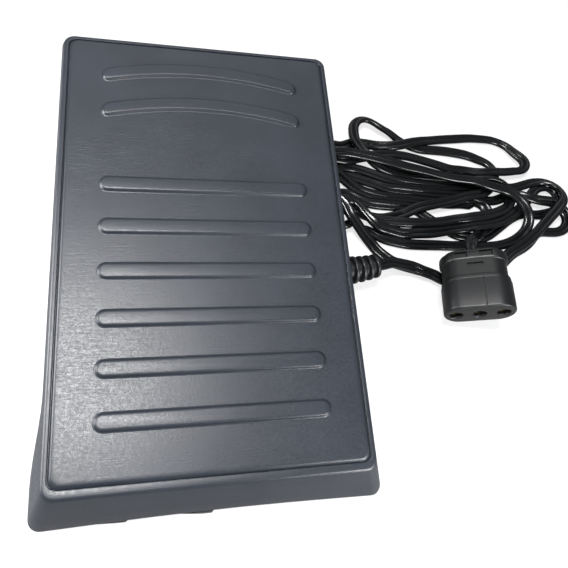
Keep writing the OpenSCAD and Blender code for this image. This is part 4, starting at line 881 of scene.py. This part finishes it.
# A collar, a slight waist, the grip's flange and its stepped back
loops = rounded(FACE_L - 0.4, FACE_L + 2.2, PLUG_W - 0.6, PLUG_H, 0.3, 0.7, 1.2, 1.0)
loops += rounded(FACE_L + 2.0, PLUG_L - 6.0, PLUG_W - 2.2, PLUG_H - 0.8, 0.0, 0.0, 0.9, 0.5)[4:7]
loops += rounded(PLUG_L - 6.4, PLUG_L - 1.2, PLUG_W - 0.6, PLUG_H, 1.2, 1.5, 0.4, 0.0)
loops += rounded(PLUG_L - 1.2, PLUG_L, PLUG_W - 4.4, PLUG_H - 2.6, 0.0, 0.7)[4:]
plug_back = placed("plug_back_body", loops, ON_PLUG)
for x in (-5.2, 5.2):
    cut = box_at("recess", x - 2.8, x + 2.8, PLUG_L - 4.8, PLUG_L - 1.5, TOP - 2.0, TOP + 2)
    plug_back = boolean(plug_back, cut, "DIFFERENCE")
cut = box_at("slot", -3.2, 3.8, PLUG_L - 9.2, PLUG_L - 7.2, TOP - 1.4, TOP + 2)
plug_back = boolean(plug_back, cut, "DIFFERENCE")
plug_back = joined([plug_back], "plug_back_body")
plug_back.data.materials.append(plug_pvc)

# Joining and cutting leave edges to be shaded anew
for piece in (plug_front, plug_back, treadle):
    welded(piece.data, 32.0)


# ---------------------------------------------------------------- room

paper = bpy.data.materials.new("paper_white")
paper.use_nodes = True
t = paper.node_tree
t.nodes.clear()
rays = t.nodes.new("ShaderNodeLightPath")
bounce = mixed(t, rays.outputs["Is Camera Ray"], rgb("#929292"), rgb("#f4f4f4"))
matte = add(t, "ShaderNodeBsdfDiffuse", {"Color": bounce})
glow = add(t, "ShaderNodeEmission", {"Color": (1, 1, 1, 1), "Strength": 1.0})
seen = worked(t, "MULTIPLY", rays.outputs["Is Camera Ray"], 0.72)
both = add(t, "ShaderNodeMixShader", {0: seen, 1: matte.outputs[0], 2: glow.outputs[0]})
add(t, "ShaderNodeOutputMaterial", {"Surface": both.outputs[0]})
HALF_FLOOR = 3.0
mesh = bpy.data.meshes.new("floor")
mesh.from_pydata([(x * HALF_FLOOR, y * HALF_FLOOR, 0) for x, y in ((-1, -1), (1, -1), (1, 1), (-1, 1))],
                 [], [(0, 1, 2, 3)])
mesh.materials.append(paper)
floor = linked("floor", mesh)

world = bpy.data.worlds.new("room")
bpy.context.scene.world = world
world.use_nodes = True
t = world.node_tree
t.nodes.clear()
rays = t.nodes.new("ShaderNodeLightPath")
soft = add(t, "ShaderNodeBackground", {"Color": rgb("#dfe4ea"), "Strength": 0.25})
white = add(t, "ShaderNodeBackground", {"Color": (1, 1, 1, 1), "Strength": 1.0})
both = add(t, "ShaderNodeMixShader", {
    0: rays.outputs["Is Camera Ray"], 1: soft.outputs[0], 2: white.outputs[0]})
add(t, "ShaderNodeOutputWorld", {"Surface": both.outputs[0]})


def lamp(name, where, target, size, watts):
    """A soft square lamp that looks at a target."""
    data = bpy.data.lights.new(name, "AREA")
    data.shape, data.size, data.energy = "SQUARE", size, watts
    obj = linked(name, data)
    obj.location = where
    obj.rotation_mode = "QUATERNION"
    obj.rotation_quaternion = (Vector(target) - Vector(where)).to_track_quat("-Z", "Y")


lamp("key", (-0.165, -0.025, 0.75), (-0.04, -0.05, 0.02), 0.2, 7.5)
lamp("left", (-0.3, 0.0, 0.11), (-0.08, -0.03, 0.01), 0.2, 1.9)
lamp("fill", (0.17, -0.25, 0.11), (0.075, -0.11, 0.0), 0.1, 0.95)
lamp("front", (-0.1, -0.75, 0.75), (0.0, 0, 0.01), 0.25, 0.15)
lamp("back", (0.1, 0.9, 0.9), (0.05, 0, 0.01), 0.9, 2.0)

bpy.context.scene.view_settings.view_transform = "Standard"


# ---------------------------------------------------------------- bodies

# Each spring is a copy of its mesh from CAD, kept with the base
for side in ("left", "right"):
    coil = linked("spring_" + side, nodes["return_spring_" + side].data.copy())
    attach(coil, "base")
    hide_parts("return_spring_" + side)
    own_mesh(coil)

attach(treadle, "treadle")
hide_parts("treadle")
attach(ribs, "treadle")
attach(relief, "base")
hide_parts("strain_relief")
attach(plug_front, "base")
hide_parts("plug_face")
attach(plug_back, "base")
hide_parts("plug_rear")
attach(lead, "base")
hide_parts("lead_outgoing", "lead_crossing", "lead_bundle", "lead_plug_end")
